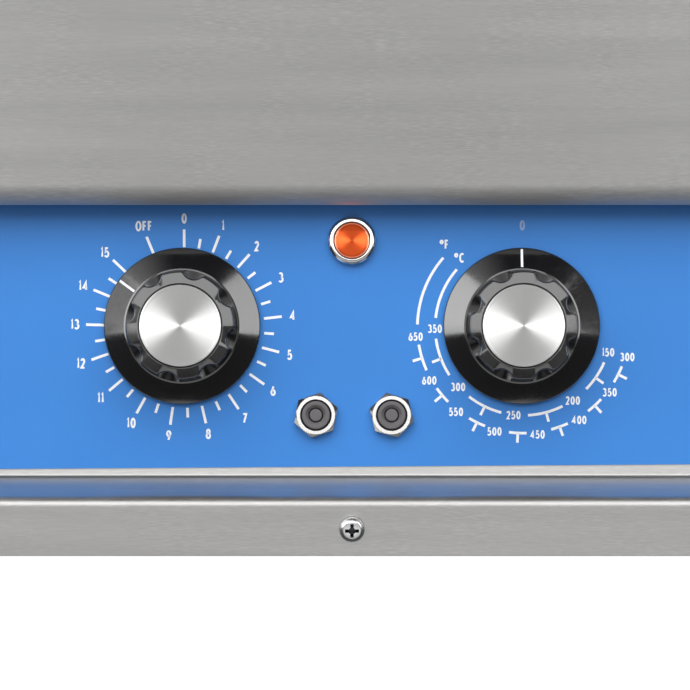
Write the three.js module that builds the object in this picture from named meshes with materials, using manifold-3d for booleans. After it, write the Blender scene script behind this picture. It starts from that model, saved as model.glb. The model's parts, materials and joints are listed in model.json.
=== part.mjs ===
// An electric countertop flat top griddle: a steel cooking plate over two serpentine heating
// elements, in a folded sheet body on four adjustable legs. The front carries a leaning control
// panel with a timer, a thermostat, a pilot lamp and two resettable breakers, under an apron that
// also holds the grease drawer. Millimetres, +Z up, front facing -Y, origin under the middle.
import * as THREE from 'three';
import { mergeVertices } from 'three/addons/utils/BufferGeometryUtils.js';
import Module from 'manifold-3d';

const wasm = await Module();
wasm.setup();

const DEG = Math.PI / 180;
const ARC_STEP = 30 * DEG; // longest turn between two points of a fold or a rounded corner
const BORE_SIDES = 16;

// ---- Driving dimensions ----------------------------------------------------------------------
const WIDTH = 550; // over the side panels
const DEPTH = 460; // flange face to rear panel
const LEG_HEIGHT = 100; // surface to the underside of the body
const APRON_HEIGHT = 100; // apron's lower edge to the rim
const GUARD_HEIGHT = 60; // splash guard above the rim
const SHEET = 1.5; // folded sheet: console, apron, trough, pans and guard
const SKIN = 1.2; // side and rear panels
const FIT = 0.3; // gap between pieces that bear on each other
const SLACK = 0.6; // gap around pieces that slide

// Console: flange, ledge and leaning panel, folded from one sheet
const FLANGE_HEIGHT = 19;
const LEDGE_DEPTH = 26.5;
const PANEL_RISE = 96.5;
const PANEL_LEAN = 13 * DEG;
const PANEL_TOP = 12; // flange folded back at the panel's upper edge
const FOLD = 3; // outside radius of the console's folds
const APRON_LAP = 10; // how far the panel runs up behind the apron
const APRON_NOSE = 16.5; // how far the apron stands out over the panel
const APRON_LIP_GAP = 2;
const APRON_ROUND = 8;
const RIM_DEPTH = 12;
const RIM_ROUND = 6;
const OVERLAY_THICK = 0.5;
const OVERLAY_INSET = 9; // in from each side panel
const OVERLAY_START = 3.3; // above the ledge corner
const OVERLAY_STOP = 6; // below the panel's upper fold
const OVERLAY_SKEW = 0.39 * DEG; // the overlay is stuck on slightly askew

// Controls, placed across and up the leaning panel
const KNOB_SPACING = 108.5;
const KNOB_RAISE = 3.9; // above the middle of the visible panel
const KNOB_RADIUS = 25;
const KNOB_HEIGHT = 20;
const KNOB_LIFT = 0.7; // skirt off the overlay
const SKIRT_RISE = 5;
const SKIRT_EDGE = 0.5; // softened edges of the skirt
const GRIP_RING = 0.7; // raised ring around the foot of the grip
const GRIP_BEVEL = 0.8;
const LOBES = 8;
const LOBE_DEPTH = 2;
const LOBE_CUT = 3.7; // radius of each scallop between two lobes
const CAP_RADIUS = 12.95;
const CAP_THICK = 1;
const GRIP_WALL = 4.35; // grip outside the cap
const SHAFT_RADIUS = 3;
const SHAFT_GRIP = 12; // shaft inside the knob
const SHAFT_SEAT = 12; // shaft behind the panel
const NECK_WALL = 1.4;
const TIMER_CASE = [46, 46, 34];
const THERMOSTAT_CASE = [44, 52, 38];
const TIMER_REST = 306 * DEG; // pointer, clockwise from the top
const LAMP_DROP = 13.2; // below the apron's edge
const LENS_RADIUS = 5.6;
const LENS_HEIGHT = 3;
const BEZEL_WALL = 1.75;
const BEZEL_HEIGHT = 2.7;
const LAMP_FLANGE = 4; // behind the panel
const LAMP_BARREL = 28;
const BREAKER_PITCH = 24.2;
const BREAKER_SHIFT = 0.6;
const BREAKER_RISE = 19.8;
const BREAKER_CASE = [14, 28, 26];
const BREAKER_LIFT = 2; // the case sits above its neck, clear of the ledge
const BREAKER_NECK = 4.7;
const BREAKER_REACH = 5.2; // neck in front of the panel
const BUTTON_RADIUS = 2.05;
const BUTTON_SINK = 0.4;
const BUTTON_LENGTH = 9;
const NUT_WALL = 1.65;
const NUT_HEIGHT = 3;
const NUT_TURNS = { left: -10.6 * DEG, right: 14 * DEG };

// Cooking top
const PLATE_THICK = 12;
const PLATE_SET = 8; // plate below the rim
const PLATE_GAP = 1; // between plate and splash guard
const PLATE_BEVEL = 1;
const PLATE_ROUND = 4; // front corners
const TROUGH_WIDTH = 85; // apron to plate
const TROUGH_DEPTH = 36; // rim to trough floor
const TROUGH_LAP = 10; // trough under the plate's front edge
const DRAIN_RADIUS = 13;
const CHUTE_WALL = 1.5;
const CHUTE_LENGTH = 16;
const GUARD_ROUND = 10;
const GUARD_RAMP = 80; // length of the sloping front end
const GUARD_TAIL = 8; // guard below the plate's underside
const GUARD_TOE = 4; // guard's front corner above the rim
const GUARD_START = 2; // behind the apron's rim
const RAIL_FLANGE = 20;

// Heating
const ELEMENT_RADIUS = 4;
const ELEMENT_PASSES = 4;
const ELEMENT_BEND = 28;
const ELEMENT_EDGE = 41; // outer pass in from the plate's edge
const ELEMENT_CENTRE = 50; // inner pass from the middle
const ELEMENT_ENDS = 35; // bends in from the plate's front and rear edges
const TERMINAL_LENGTH = 36;
const TERMINAL_BEND = 8;
const CLAMP_THICK = 3;
const CLAMP_WIDTH = 20;
const CLAMP_INSET = 85; // bars in from the plate's front and rear edges
const CLAMP_CLEAR = 6; // between bars and plate rails
const STUD_RADIUS = 3;
const STUD_LENGTH = 17;
const BLANKET_THICK = 14;
const BLANKET_GAP = 1.9;
const SHIELD_INSET = 12; // shield in from the plate's front and rear edges
const BULB_RADIUS = 3;
const BULB_LENGTH = 90;
const CLIP_THICK = 1;
const CLIP_EAR = 7;
const CLIP_WIDTH = 12;
const CAPILLARY_RADIUS = 1.2;
const CAPILLARY_BEND = 12;
const CAPILLARY_SET = 15; // behind the shield's front edge
const HOLE_ROOM = 1.5; // clearance where tubes and studs pass through

// Grease drawer
const DRAWER_WIDTH = 132;
const DRAWER_DEPTH = 165;
const DRAWER_INSET = 85; // drawer's middle in from the side
const DRAWER_RISE = 14.5; // above the apron's lower edge
const DRAWER_ROOM = 6.4; // under the plate rails
const DRAWER_WALL = 1.5;
const DRAWER_MARGIN = 2; // opening around the drawer
const FRONT_LAP = 6; // drawer front over the opening
const FRONT_DROP = 6; // drawer front below the drawer
const HANDLE_WIDTH = 70;
const HANDLE_REACH = 22;
const HANDLE_RADIUS = 3;
const HANDLE_BEND = 10;
const SLIDE_FLANGE = 10;
const SLIDE_WEB = 14;
const SLIDE_FOLD = 2;

// Legs, fixings and mains inlet
const LEG_INSET = 40;
const LEG_RADIUS = 16;
const LEG_TAPER = 2;
const LEG_FLANGE = 20;
const LEG_FLANGE_THICK = 3;
const FOOT_HEIGHT = 32;
const FOOT_RADIUS = 15;
const FOOT_SOLE = 9; // straight part of the foot
const FOOT_EASE = 2;
const FOOT_SHOULDER = 5;
const STEM_RADIUS = 6;
const STEM_CLEAR = 18; // stem below the underside of the body
const STEM_ROOM = 6; // leg's bore above the stem
const SCREW_INSET = 75;
const SCREW_RISE = 9;
const SCREW_HEAD = 2.6;
const SCREW_HEAD_RADIUS = 4;
const SCREW_RADIUS = 2;
const SCREW_LENGTH = 6;
const SCREW_CROSS = [2.3, 0.5, 1.4]; // half length, half width and depth of each slot
const PAN_WALL = 16;
const GLAND_INSET = 95;
const GLAND_RISE = 35;
const GLAND_RADIUS = 9;
const GLAND_BORE = 5;
const GLAND_REACH = 14;
const GLAND_HEX = 4; // hexagon outside the gland's thread
const GLAND_NUT = 5;
const GLAND_THREAD = 10; // behind the rear panel
const TERMINAL_BLOCK = [64, 24, 16];
const TERMINAL_WAYS = 4;
const TERMINAL_SLOT = [10, 4, 7]; // width, set back from the middle, and depth
const TERMINAL_INSET = 60; // in from the rear panel
const VENT_ROWS = 6;
const VENT_COLUMNS = 4;
const VENT_WIDTH = 60;
const VENT_SLOT = 5;
const VENT_PITCH = [90, 14];

// ---- Levels and stations worked out from them ---------------------------------------------------
const ledgeZ = LEG_HEIGHT + FLANGE_HEIGHT;
const apronZ = ledgeZ + PANEL_RISE - APRON_LAP;
const rimZ = apronZ + APRON_HEIGHT;
const lean = Math.tan(PANEL_LEAN);
const panelFrontAtApron = LEDGE_DEPTH + (apronZ - ledgeZ) * lean;
const apronY = panelFrontAtApron - APRON_NOSE;
const visiblePanel = (apronZ - ledgeZ) / Math.cos(PANEL_LEAN); // ledge corner to apron, up the slope
const knobRise = visiblePanel / 2 + KNOB_RAISE;

const innerHalf = WIDTH / 2 - SKIN - FIT; // half width between the side panels
const wellHalf = innerHalf - SHEET - FIT; // half width inside the splash guard
const rearY = DEPTH - SKIN - FIT;
const plateTop = rimZ - PLATE_SET;
const plateZ = plateTop - PLATE_THICK;
const plateFront = apronY + TROUGH_WIDTH;
const plateRear = rearY - SHEET - PLATE_GAP;
const plateHalf = wellHalf + FIT - PLATE_GAP;
const troughZ = rimZ - TROUGH_DEPTH;

const elementZ = plateZ - FIT - ELEMENT_RADIUS;
const clampTop = elementZ - ELEMENT_RADIUS - FIT;
const blanketTop = clampTop - CLAMP_THICK - BLANKET_GAP;
const shieldTop = blanketTop - BLANKET_THICK - FIT;
const railZ = shieldTop - SHEET - FIT - SHEET; // underside of the plate rails
const shieldFront = plateFront + SHIELD_INSET;
const shieldRear = plateRear - SHIELD_INSET;
const passPitch = (plateHalf - ELEMENT_EDGE - ELEMENT_CENTRE) / (ELEMENT_PASSES - 1);
const passFront = plateFront + ELEMENT_ENDS;
const passRear = plateRear - ELEMENT_ENDS;
const studX = ELEMENT_CENTRE + 1.5 * passPitch;
const clampYs = { front: plateFront + CLAMP_INSET, rear: plateRear - CLAMP_INSET };
const bulbZ = plateZ - FIT - BULB_RADIUS;
const bulbY = (plateFront + plateRear) / 2 - BULB_LENGTH / 2;
const capillaryY = shieldFront + CAPILLARY_SET;

const drawerX = WIDTH / 2 - DRAWER_INSET;
const drawerZ = apronZ + DRAWER_RISE;
const drawerHeight = railZ - DRAWER_ROOM - drawerZ;
const drainY = apronY + TROUGH_WIDTH / 2;

const overlayFace = FIT + OVERLAY_THICK;
const knobBack = overlayFace + KNOB_LIFT;
const knobTop = knobBack + KNOB_HEIGHT;
const gripRadius = CAP_RADIUS + GRIP_WALL;
const neckRadius = SHAFT_RADIUS + FIT + NECK_WALL;
const lampRise = visiblePanel - LAMP_DROP;
const lampHole = LENS_RADIUS + FIT;
const screwXs = { left: SCREW_INSET - WIDTH / 2, centre: 0, right: WIDTH / 2 - SCREW_INSET };
const screwZ = LEG_HEIGHT + SCREW_RISE;
const glandX = GLAND_INSET - WIDTH / 2;
const glandZ = LEG_HEIGHT + GLAND_RISE;

// ---- Materials ------------------------------------------------------------------------------------
const metal = (color, roughness) =>
  new THREE.MeshStandardMaterial({ color, roughness, metalness: 1 });
const matter = (color, roughness) =>
  new THREE.MeshStandardMaterial({ color, roughness, metalness: 0 });
const BRUSHED = metal(0xb9b9b7, 0.34);
const PLATE_STEEL = metal(0x8e8c89, 0.3);
const ZINC = metal(0xa3a7aa, 0.5);
const CHROME = metal(0xe6e7e8, 0.08);
const SPUN = metal(0xdedddb, 0.24);
const SHEATH = metal(0x4c4a48, 0.5);
const COPPER = metal(0xb87348, 0.35);
const BLUE = matter(0x478ede, 0.35);
const BLACK = matter(0x111113, 0.12);
const DARK = matter(0x4b494c, 0.5);
const AMBER = matter(0xf2813a, 0.15);
const WOOL = matter(0xe9e6dc, 0.95);
const BAKELITE = matter(0x2a2725, 0.6);
const RUBBER = matter(0x1b1b1c, 0.8);

// ---- Geometry helpers -----------------------------------------------------------------------------
function toSolid(geometry) {
  const bare = geometry.clone();
  bare.deleteAttribute('normal');
  bare.deleteAttribute('uv');
  const merged = mergeVertices(bare, 1e-4);
  return new wasm.Manifold(
    new wasm.Mesh({
      numProp: 3,
      vertProperties: merged.attributes.position.array,
      triVerts: new Uint32Array(merged.index.array),
    }),
  );
}

function toGeometry(solid) {
  const { vertProperties, triVerts } = solid.getMesh();
  const geometry = new THREE.BufferGeometry();
  geometry.setAttribute('position', new THREE.BufferAttribute(vertProperties, 3));
  geometry.setIndex(new THREE.BufferAttribute(triVerts, 1));
  geometry.computeVertexNormals();
  return geometry;
}

function join(first, ...others) {
  return toGeometry(others.reduce((solid, piece) => solid.add(toSolid(piece)), toSolid(first)));
}

function cut(piece, ...tools) {
  return toGeometry(tools.reduce((solid, tool) => solid.subtract(toSolid(tool)), toSolid(piece)));
}

// Follows corners [a, b, radius] and gives each point with the unit vector to its left.
function trace(corners, closed = false) {
  const count = corners.length;
  return corners.flatMap(([a, b, radius = 0], i) => {
    const here = new THREE.Vector2(a, b);
    const toward = (j) => new THREE.Vector2(...corners[(j + count) % count]).sub(here).normalize();
    const isEnd = !closed && (i === 0 || i === count - 1);
    if (isEnd || radius === 0) {
      const along = i < count - 1 ? toward(i + 1) : toward(i - 1).negate();
      return [{ at: here, left: new THREE.Vector2(-along.y, along.x) }];
    }
    const back = toward(i - 1);
    const ahead = toward(i + 1);
    const turn = Math.sign(ahead.cross(back));
    const half = Math.acos(back.dot(ahead)) / 2;
    const centre = back.clone().add(ahead).setLength(radius / Math.sin(half)).add(here);
    const first = back.clone().multiplyScalar(radius / Math.tan(half)).add(here).sub(centre);
    const sweep = Math.PI - 2 * half;
    const steps = Math.max(1, Math.round(sweep / ARC_STEP));
    return Array.from({ length: steps + 1 }, (_, k) => {
      const spoke = first.clone().rotateAround(new THREE.Vector2(), (turn * sweep * k) / steps);
      return { at: spoke.clone().add(centre), left: spoke.multiplyScalar(-turn / radius) };
    });
  });
}

const outline = (corners) => new THREE.Shape(trace(corners, true).map(({ at }) => at));

// A folded sheet's section: the given face, and the same face moved left by the thickness.
function strip(corners, thickness) {
  const stations = trace(corners);
  const hidden = stations.map(({ at, left }) => left.multiplyScalar(thickness).add(at));
  return new THREE.Shape([...stations.map(({ at }) => at), ...hidden.reverse()]);
}

const X = new THREE.Vector3(1, 0, 0);
const Y = new THREE.Vector3(0, 1, 0);
const Z = new THREE.Vector3(0, 0, 1);
const SECTION_YZ = new THREE.Matrix4().makeBasis(Y, Z, X);
const SECTION_XZ = new THREE.Matrix4().makeBasis(X, Z, Y.clone().negate());

function extrude(shape, depth, options = {}) {
  return new THREE.ExtrudeGeometry(shape, { depth, bevelEnabled: false, curveSegments: 6, ...options });
}

// A section in (y, z) carried across from x0 to x1.
const across = (shape, x0, x1) => extrude(shape, x1 - x0).translate(0, 0, x0).applyMatrix4(SECTION_YZ);

// A section in (x, z) carried back from y0 to y1.
const backward = (shape, y0, y1) => extrude(shape, y1 - y0).applyMatrix4(SECTION_XZ).translate(0, y1, 0);

// A box between two opposite corners.
function block([x0, y0, z0], [x1, y1, z1]) {
  const size = [x1 - x0, y1 - y0, z1 - z0];
  return new THREE.BoxGeometry(...size).translate((x0 + x1) / 2, (y0 + y1) / 2, (z0 + z1) / 2);
}

// A cylinder standing along z at (x, y), from z0 to z1.
function rod(radius, z0, z1, x = 0, y = 0, sides = BORE_SIDES) {
  const shape = new THREE.CylinderGeometry(radius, radius, z1 - z0, sides);
  return shape.rotateX(Math.PI / 2).translate(x, y, (z0 + z1) / 2);
}

// A body turned about z from a profile of [radius, z].
function turned(profile, sides = 20) {
  const points = profile.map(([radius, z]) => new THREE.Vector2(radius, z));
  return new THREE.LatheGeometry(points, sides).rotateX(Math.PI / 2);
}

// A round bar along points [x, y, z], its corners eased over `bend`, or over a point's own fourth value.
function bar(points, bend, radius, sides, steps) {
  const stops = points.map(([x, y, z]) => new THREE.Vector3(x, y, z));
  const route = new THREE.CurvePath();
  let from = stops[0];
  stops.slice(1, -1).forEach((corner, i) => {
    const [before, after] = [stops[i], stops[i + 2]];
    const [back, ahead] = [corner.distanceTo(before), corner.distanceTo(after)];
    const reach = Math.min(points[i + 1][3] ?? bend, back / 2, ahead / 2);
    const enter = corner.clone().lerp(before, reach / back);
    const leave = corner.clone().lerp(after, reach / ahead);
    route.add(new THREE.LineCurve3(from, enter));
    route.add(new THREE.QuadraticBezierCurve3(enter, corner, leave));
    from = leave;
  });
  route.add(new THREE.LineCurve3(from, stops[stops.length - 1]));
  const section = new THREE.Shape().absarc(0, 0, radius, 0, 2 * Math.PI);
  return extrude(section, 0, { extrudePath: route, steps, curveSegments: sides / 2 });
}

const body = new THREE.Group(); // y measured back from the flange's face
const panel = new THREE.Group(); // x across, y up the leaning panel, z out of its face
panel.position.set(0, LEDGE_DEPTH, ledgeZ);
panel.rotation.x = Math.PI / 2 - PANEL_LEAN;
body.add(panel);

function add(name, geometry, material, parent = body) {
  const mesh = new THREE.Mesh(geometry, material);
  mesh.name = name;
  parent.add(mesh);
  return mesh;
}

// ---- Folded body ----------------------------------------------------------------------------------
const controls = [
  { name: 'timer', x: -KNOB_SPACING / 2, size: TIMER_CASE, rest: TIMER_REST },
  { name: 'thermostat', x: KNOB_SPACING / 2, size: THERMOSTAT_CASE, rest: 0 },
];
const breakers = ['left', 'right'].map((side, i) => ({
  side,
  x: BREAKER_SHIFT + (i - 0.5) * BREAKER_PITCH,
}));

// Cutters for the panel's holes, in the panel's own axes, with extra room around each neck.
function panelHoles(room) {
  const deep = 4 * SHEET;
  return [
    ...controls.map(({ x }) => rod(neckRadius + room, -deep, deep, x, knobRise)),
    ...breakers.map(({ x }) => rod(BREAKER_NECK + room, -deep, deep, x, BREAKER_RISE)),
    rod(lampHole + room, -deep, deep, 0, lampRise),
  ];
}

function buildConsole() {
  const topY = LEDGE_DEPTH + PANEL_RISE * lean;
  const face = [
    [topY + PANEL_TOP, ledgeZ + PANEL_RISE],
    [topY, ledgeZ + PANEL_RISE, FOLD],
    [LEDGE_DEPTH, ledgeZ, FOLD],
    [0, ledgeZ, FOLD],
    [0, LEG_HEIGHT],
  ];
  panel.updateMatrix();
  const holes = panelHoles(FIT).map((hole) => hole.applyMatrix4(panel.matrix));
  const screwHoles = Object.values(screwXs).map((x) => screwBore(x));
  const sheet = across(strip(face, SHEET), -innerHalf, innerHalf);
  add('console_front', cut(sheet, ...holes, ...screwHoles), BRUSHED);
}

// A clearance hole for a front screw, through the flange and the wall behind it.
function screwBore(x) {
  const shape = rod(SCREW_RADIUS + FIT, -4 * SHEET, 4 * SHEET, 0, 0, 12);
  return shape.rotateX(Math.PI / 2).translate(x, 0, screwZ);
}

function buildOverlay() {
  const half = innerHalf - OVERLAY_INSET;
  const end = PANEL_RISE / Math.cos(PANEL_LEAN) - OVERLAY_STOP;
  const middle = (OVERLAY_START + end) / 2;
  const tall = (end - OVERLAY_START) / 2;
  const sheet = block([-half, -tall, FIT], [half, tall, overlayFace]);
  sheet.rotateZ(OVERLAY_SKEW).translate(0, middle, 0);
  add('panel_overlay', cut(sheet, ...panelHoles(2 * FIT)), BLUE, panel);
}

function buildApron() {
  const face = [
    [apronY + RIM_DEPTH, rimZ],
    [apronY, rimZ, RIM_ROUND],
    [apronY, apronZ, APRON_ROUND],
    [panelFrontAtApron - APRON_LIP_GAP, apronZ],
  ];
  const half = DRAWER_WIDTH / 2 + DRAWER_MARGIN;
  const opening = block(
    [drawerX - half, apronY - SHEET, drawerZ - DRAWER_MARGIN],
    [drawerX + half, apronY + 2 * SHEET, drawerZ + drawerHeight + DRAWER_MARGIN],
  );
  add('front_apron', cut(across(strip(face, SHEET), -innerHalf, innerHalf), opening), BRUSHED);
}

function buildSides() {
  const edge = outline([
    [0, LEG_HEIGHT],
    [0, ledgeZ, FOLD],
    [LEDGE_DEPTH, ledgeZ, FOLD],
    [panelFrontAtApron, apronZ],
    [apronY, apronZ, APRON_ROUND],
    [apronY, rimZ, RIM_ROUND],
    [DEPTH, rimZ, RIM_ROUND],
    [DEPTH, LEG_HEIGHT],
  ]);
  const outer = WIDTH / 2;
  add('side_panel_left', across(edge, -outer, SKIN - outer), BRUSHED);
  add('side_panel_right', across(edge, outer - SKIN, outer), BRUSHED);
}

function buildRear() {
  const sheet = block([-innerHalf, DEPTH - SKIN, LEG_HEIGHT], [innerHalf, DEPTH, rimZ]);
  const [pitchX, pitchZ] = VENT_PITCH;
  const middleZ = (LEG_HEIGHT + rimZ) / 2;
  const openings = [];
  for (let row = 0; row < VENT_ROWS; row++) {
    for (let column = 0; column < VENT_COLUMNS; column++) {
      const x = (column - (VENT_COLUMNS - 1) / 2) * pitchX;
      const z = middleZ + (row - (VENT_ROWS - 1) / 2) * pitchZ;
      const slot = new THREE.BoxGeometry(VENT_WIDTH, 4 * SKIN, VENT_SLOT);
      openings.push(slot.translate(x, DEPTH, z));
    }
  }
  const entry = rod(GLAND_RADIUS + FIT, -10, 10).rotateX(Math.PI / 2);
  openings.push(entry.translate(glandX, DEPTH, glandZ));
  add('rear_panel', cut(sheet, ...openings), BRUSHED);
}

function buildBasePan() {
  const front = SHEET + FIT;
  const face = [
    [front, LEG_HEIGHT + PAN_WALL],
    [front, LEG_HEIGHT, FOLD],
    [rearY, LEG_HEIGHT, FOLD],
    [rearY, LEG_HEIGHT + PAN_WALL],
  ];
  const screwHoles = Object.values(screwXs).map((x) => screwBore(x));
  add('base_pan', cut(across(strip(face, SHEET), -innerHalf, innerHalf), ...screwHoles), ZINC);
}

// ---- Cooking top ----------------------------------------------------------------------------------
function buildGuard() {
  const frontY = apronY + RIM_DEPTH + GUARD_START;
  const bottom = plateZ - GUARD_TAIL;
  const top = rimZ + GUARD_HEIGHT;
  const plan = strip(
    [
      [innerHalf, frontY],
      [innerHalf, rearY, GUARD_ROUND],
      [-innerHalf, rearY, GUARD_ROUND],
      [-innerHalf, frontY],
    ],
    SHEET,
  );
  const wall = extrude(plan, top - bottom).translate(0, 0, bottom);
  const ramp = outline([
    [frontY - 1, rimZ + GUARD_TOE],
    [frontY + GUARD_RAMP, top],
    [frontY + GUARD_RAMP, top + 1],
    [frontY - 1, top + 1],
  ]);
  add('splash_guard', cut(wall, across(ramp, -WIDTH / 2, WIDTH / 2)), BRUSHED);
}

function buildPlate() {
  const half = plateHalf - PLATE_BEVEL;
  const face = outline([
    [-half, plateFront + PLATE_BEVEL, PLATE_ROUND],
    [half, plateFront + PLATE_BEVEL, PLATE_ROUND],
    [half, plateRear - PLATE_BEVEL, GUARD_ROUND],
    [-half, plateRear - PLATE_BEVEL, GUARD_ROUND],
  ]);
  const slab = extrude(face, PLATE_THICK - 2 * PLATE_BEVEL, {
    bevelEnabled: true,
    bevelSize: PLATE_BEVEL,
    bevelThickness: PLATE_BEVEL,
    bevelSegments: 1,
  }).translate(0, 0, plateZ + PLATE_BEVEL);
  const studs = studPlaces().map(([x, y]) => rod(STUD_RADIUS, plateZ - STUD_LENGTH, plateZ + 1, x, y, 10));
  add('griddle_plate', join(slab, ...studs), PLATE_STEEL);
}

// The plate's studs, two through each clamp bar.
function studPlaces() {
  return Object.values(clampYs).flatMap((y) => [[-studX, y], [studX, y]]);
}

function buildPlateRails() {
  const inner = wellHalf - RAIL_FLANGE;
  const section = (sign) => {
    const face = [
      [sign * inner, railZ],
      [sign * wellHalf, railZ, FOLD],
      [sign * wellHalf, plateZ - FIT, FOLD],
      [sign * inner, plateZ - FIT],
    ];
    return strip(sign > 0 ? face : face.reverse(), SHEET);
  };
  const from = plateFront + TROUGH_LAP + FIT;
  const to = rearY - GUARD_ROUND; // clear of the guard's rounded corners
  add('plate_rail_left', backward(section(-1), from, to), ZINC);
  add('plate_rail_right', backward(section(1), from, to), ZINC);
}

function buildTrough() {
  const front = apronY + RIM_ROUND + FIT;
  const rear = plateFront + TROUGH_LAP;
  const frontTop = rimZ - SHEET - FIT;
  const rearTop = plateZ - FIT;
  const gutter = strip(
    [
      [front, frontTop],
      [front, troughZ, FOLD],
      [rear, troughZ, FOLD],
      [rear, rearTop],
    ],
    SHEET,
  );
  const end = outline([
    [front, frontTop],
    [front, troughZ, FOLD],
    [rear, troughZ, FOLD],
    [rear, rearTop],
    [plateFront - 1, rearTop],
    [plateFront - 1, frontTop],
  ]);
  const whole = join(
    across(gutter, -wellHalf, wellHalf),
    across(end, -wellHalf, SHEET - wellHalf),
    across(end, wellHalf - SHEET, wellHalf),
  );
  const drain = rod(DRAIN_RADIUS, troughZ - 1, troughZ + 2 * SHEET, drawerX, drainY);
  add('grease_trough', cut(whole, drain), BRUSHED);
}

function buildChute() {
  const top = troughZ - FIT;
  const chute = turned([
    [DRAIN_RADIUS, top - CHUTE_LENGTH],
    [DRAIN_RADIUS + CHUTE_WALL, top - CHUTE_LENGTH],
    [DRAIN_RADIUS + CHUTE_WALL, top - CHUTE_WALL],
    [DRAIN_RADIUS + 3 * CHUTE_WALL, top - CHUTE_WALL],
    [DRAIN_RADIUS + 3 * CHUTE_WALL, top],
    [DRAIN_RADIUS, top],
    [DRAIN_RADIUS, top - CHUTE_LENGTH],
  ]);
  add('grease_chute', chute.translate(drawerX, drainY, 0), BRUSHED);
}

// ---- Heating --------------------------------------------------------------------------------------
function buildElements() {
  for (const [name, sign] of [['left', -1], ['right', 1]]) {
    const xs = Array.from({ length: ELEMENT_PASSES }, (_, i) => sign * (ELEMENT_CENTRE + i * passPitch));
    const stops = xs.flatMap((x, i) => {
      const ends = [[x, passRear, elementZ], [x, passFront, elementZ]];
      return i % 2 ? ends.reverse() : ends;
    });
    stops[0].push(TERMINAL_BEND);
    stops[stops.length - 1].push(TERMINAL_BEND);
    const down = elementZ - TERMINAL_LENGTH;
    const first = [xs[0], passRear, down];
    const last = [xs[ELEMENT_PASSES - 1], passRear, down];
    const tube = bar([first, ...stops, last], ELEMENT_BEND, ELEMENT_RADIUS, 6, 84);
    add(`heating_element_${name}`, tube, SHEATH);
  }
}

function buildClamps() {
  const half = plateHalf - RAIL_FLANGE - CLAMP_CLEAR;
  const bottom = clampTop - CLAMP_THICK;
  for (const [name, y] of Object.entries(clampYs)) {
    const [near, far] = [y - CLAMP_WIDTH / 2, y + CLAMP_WIDTH / 2];
    const strap = block([-half, near, bottom], [half, far, clampTop]);
    const holes = [-studX, studX].map((x) => rod(STUD_RADIUS + FIT, bottom - 1, clampTop + 1, x, y, 12));
    add(`element_clamp_${name}`, cut(strap, ...holes), ZINC);
  }
}

// Where tubes and studs pass down through the blanket and the shield: [x, y, radius].
function heatZoneHoles() {
  const terminals = [-1, 1].flatMap((sign) =>
    [0, ELEMENT_PASSES - 1].map((i) => sign * (ELEMENT_CENTRE + i * passPitch)),
  );
  return [
    ...terminals.map((x) => [x, passRear, ELEMENT_RADIUS + HOLE_ROOM]),
    [0, capillaryY, CAPILLARY_RADIUS + HOLE_ROOM],
  ];
}

function buildBlanket() {
  const half = wellHalf - FOLD - 2 * FIT;
  const bottom = shieldTop + FIT;
  const pad = block(
    [-half, shieldFront + FOLD + FIT, bottom],
    [half, shieldRear - FOLD - FIT, bottom + BLANKET_THICK],
  );
  const holes = [
    ...heatZoneHoles(),
    ...studPlaces().map(([x, y]) => [x, y, STUD_RADIUS + HOLE_ROOM]),
  ].map(([x, y, radius]) => rod(radius, bottom - 1, bottom + BLANKET_THICK + 1, x, y, 12));
  add('insulation_blanket', cut(pad, ...holes), WOOL);
}

function buildShield() {
  const half = wellHalf - FOLD - FIT;
  const bottom = shieldTop - SHEET;
  const lip = plateZ - 2 * SHEET - FIT;
  const face = [
    [shieldFront, lip],
    [shieldFront, bottom, FOLD],
    [shieldRear, bottom, FOLD],
    [shieldRear, lip],
  ];
  const holes = heatZoneHoles().map(([x, y, radius]) => rod(radius, bottom - 1, shieldTop + 1, x, y, 12));
  add('heat_shield', cut(across(strip(face, SHEET), -half, half), ...holes), ZINC);
}

function buildSensor() {
  const bulb = rod(BULB_RADIUS, 0, BULB_LENGTH, 0, 0, 12);
  add('thermostat_bulb', bulb.rotateX(-Math.PI / 2).translate(0, bulbY, bulbZ), COPPER);

  const side = BULB_RADIUS + FIT + CLIP_THICK;
  const bottom = bulbZ - side;
  const shoulder = plateZ - FIT - CLIP_THICK;
  const hat = strip(
    [
      [-side - CLIP_EAR, shoulder],
      [-side, shoulder, 0.4],
      [-side, bottom, 1.5],
      [side, bottom, 1.5],
      [side, shoulder, 0.4],
      [side + CLIP_EAR, shoulder],
    ],
    CLIP_THICK,
  );
  const clipY = bulbY + BULB_LENGTH / 2;
  add('bulb_clip', backward(hat, clipY - CLIP_WIDTH / 2, clipY + CLIP_WIDTH / 2), ZINC);

  const [, , caseDepth] = THERMOSTAT_CASE;
  const start = new THREE.Vector3(KNOB_SPACING / 2, knobRise, -SHEET - 2 * FIT - caseDepth);
  const behind = start.clone().add(new THREE.Vector3(0, 0, -CAPILLARY_BEND));
  panel.updateMatrix();
  [start, behind].forEach((point) => point.applyMatrix4(panel.matrix));
  const route = [
    start.toArray(),
    behind.toArray(),
    [KNOB_SPACING / 4, capillaryY - 8, (behind.z + shieldTop) / 2],
    [0, capillaryY, shieldTop - 26],
    [0, capillaryY, bulbZ],
    [0, bulbY - FIT, bulbZ],
  ];
  add('capillary_tube', bar(route, CAPILLARY_BEND, CAPILLARY_RADIUS, 6, 34), COPPER);
}

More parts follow.
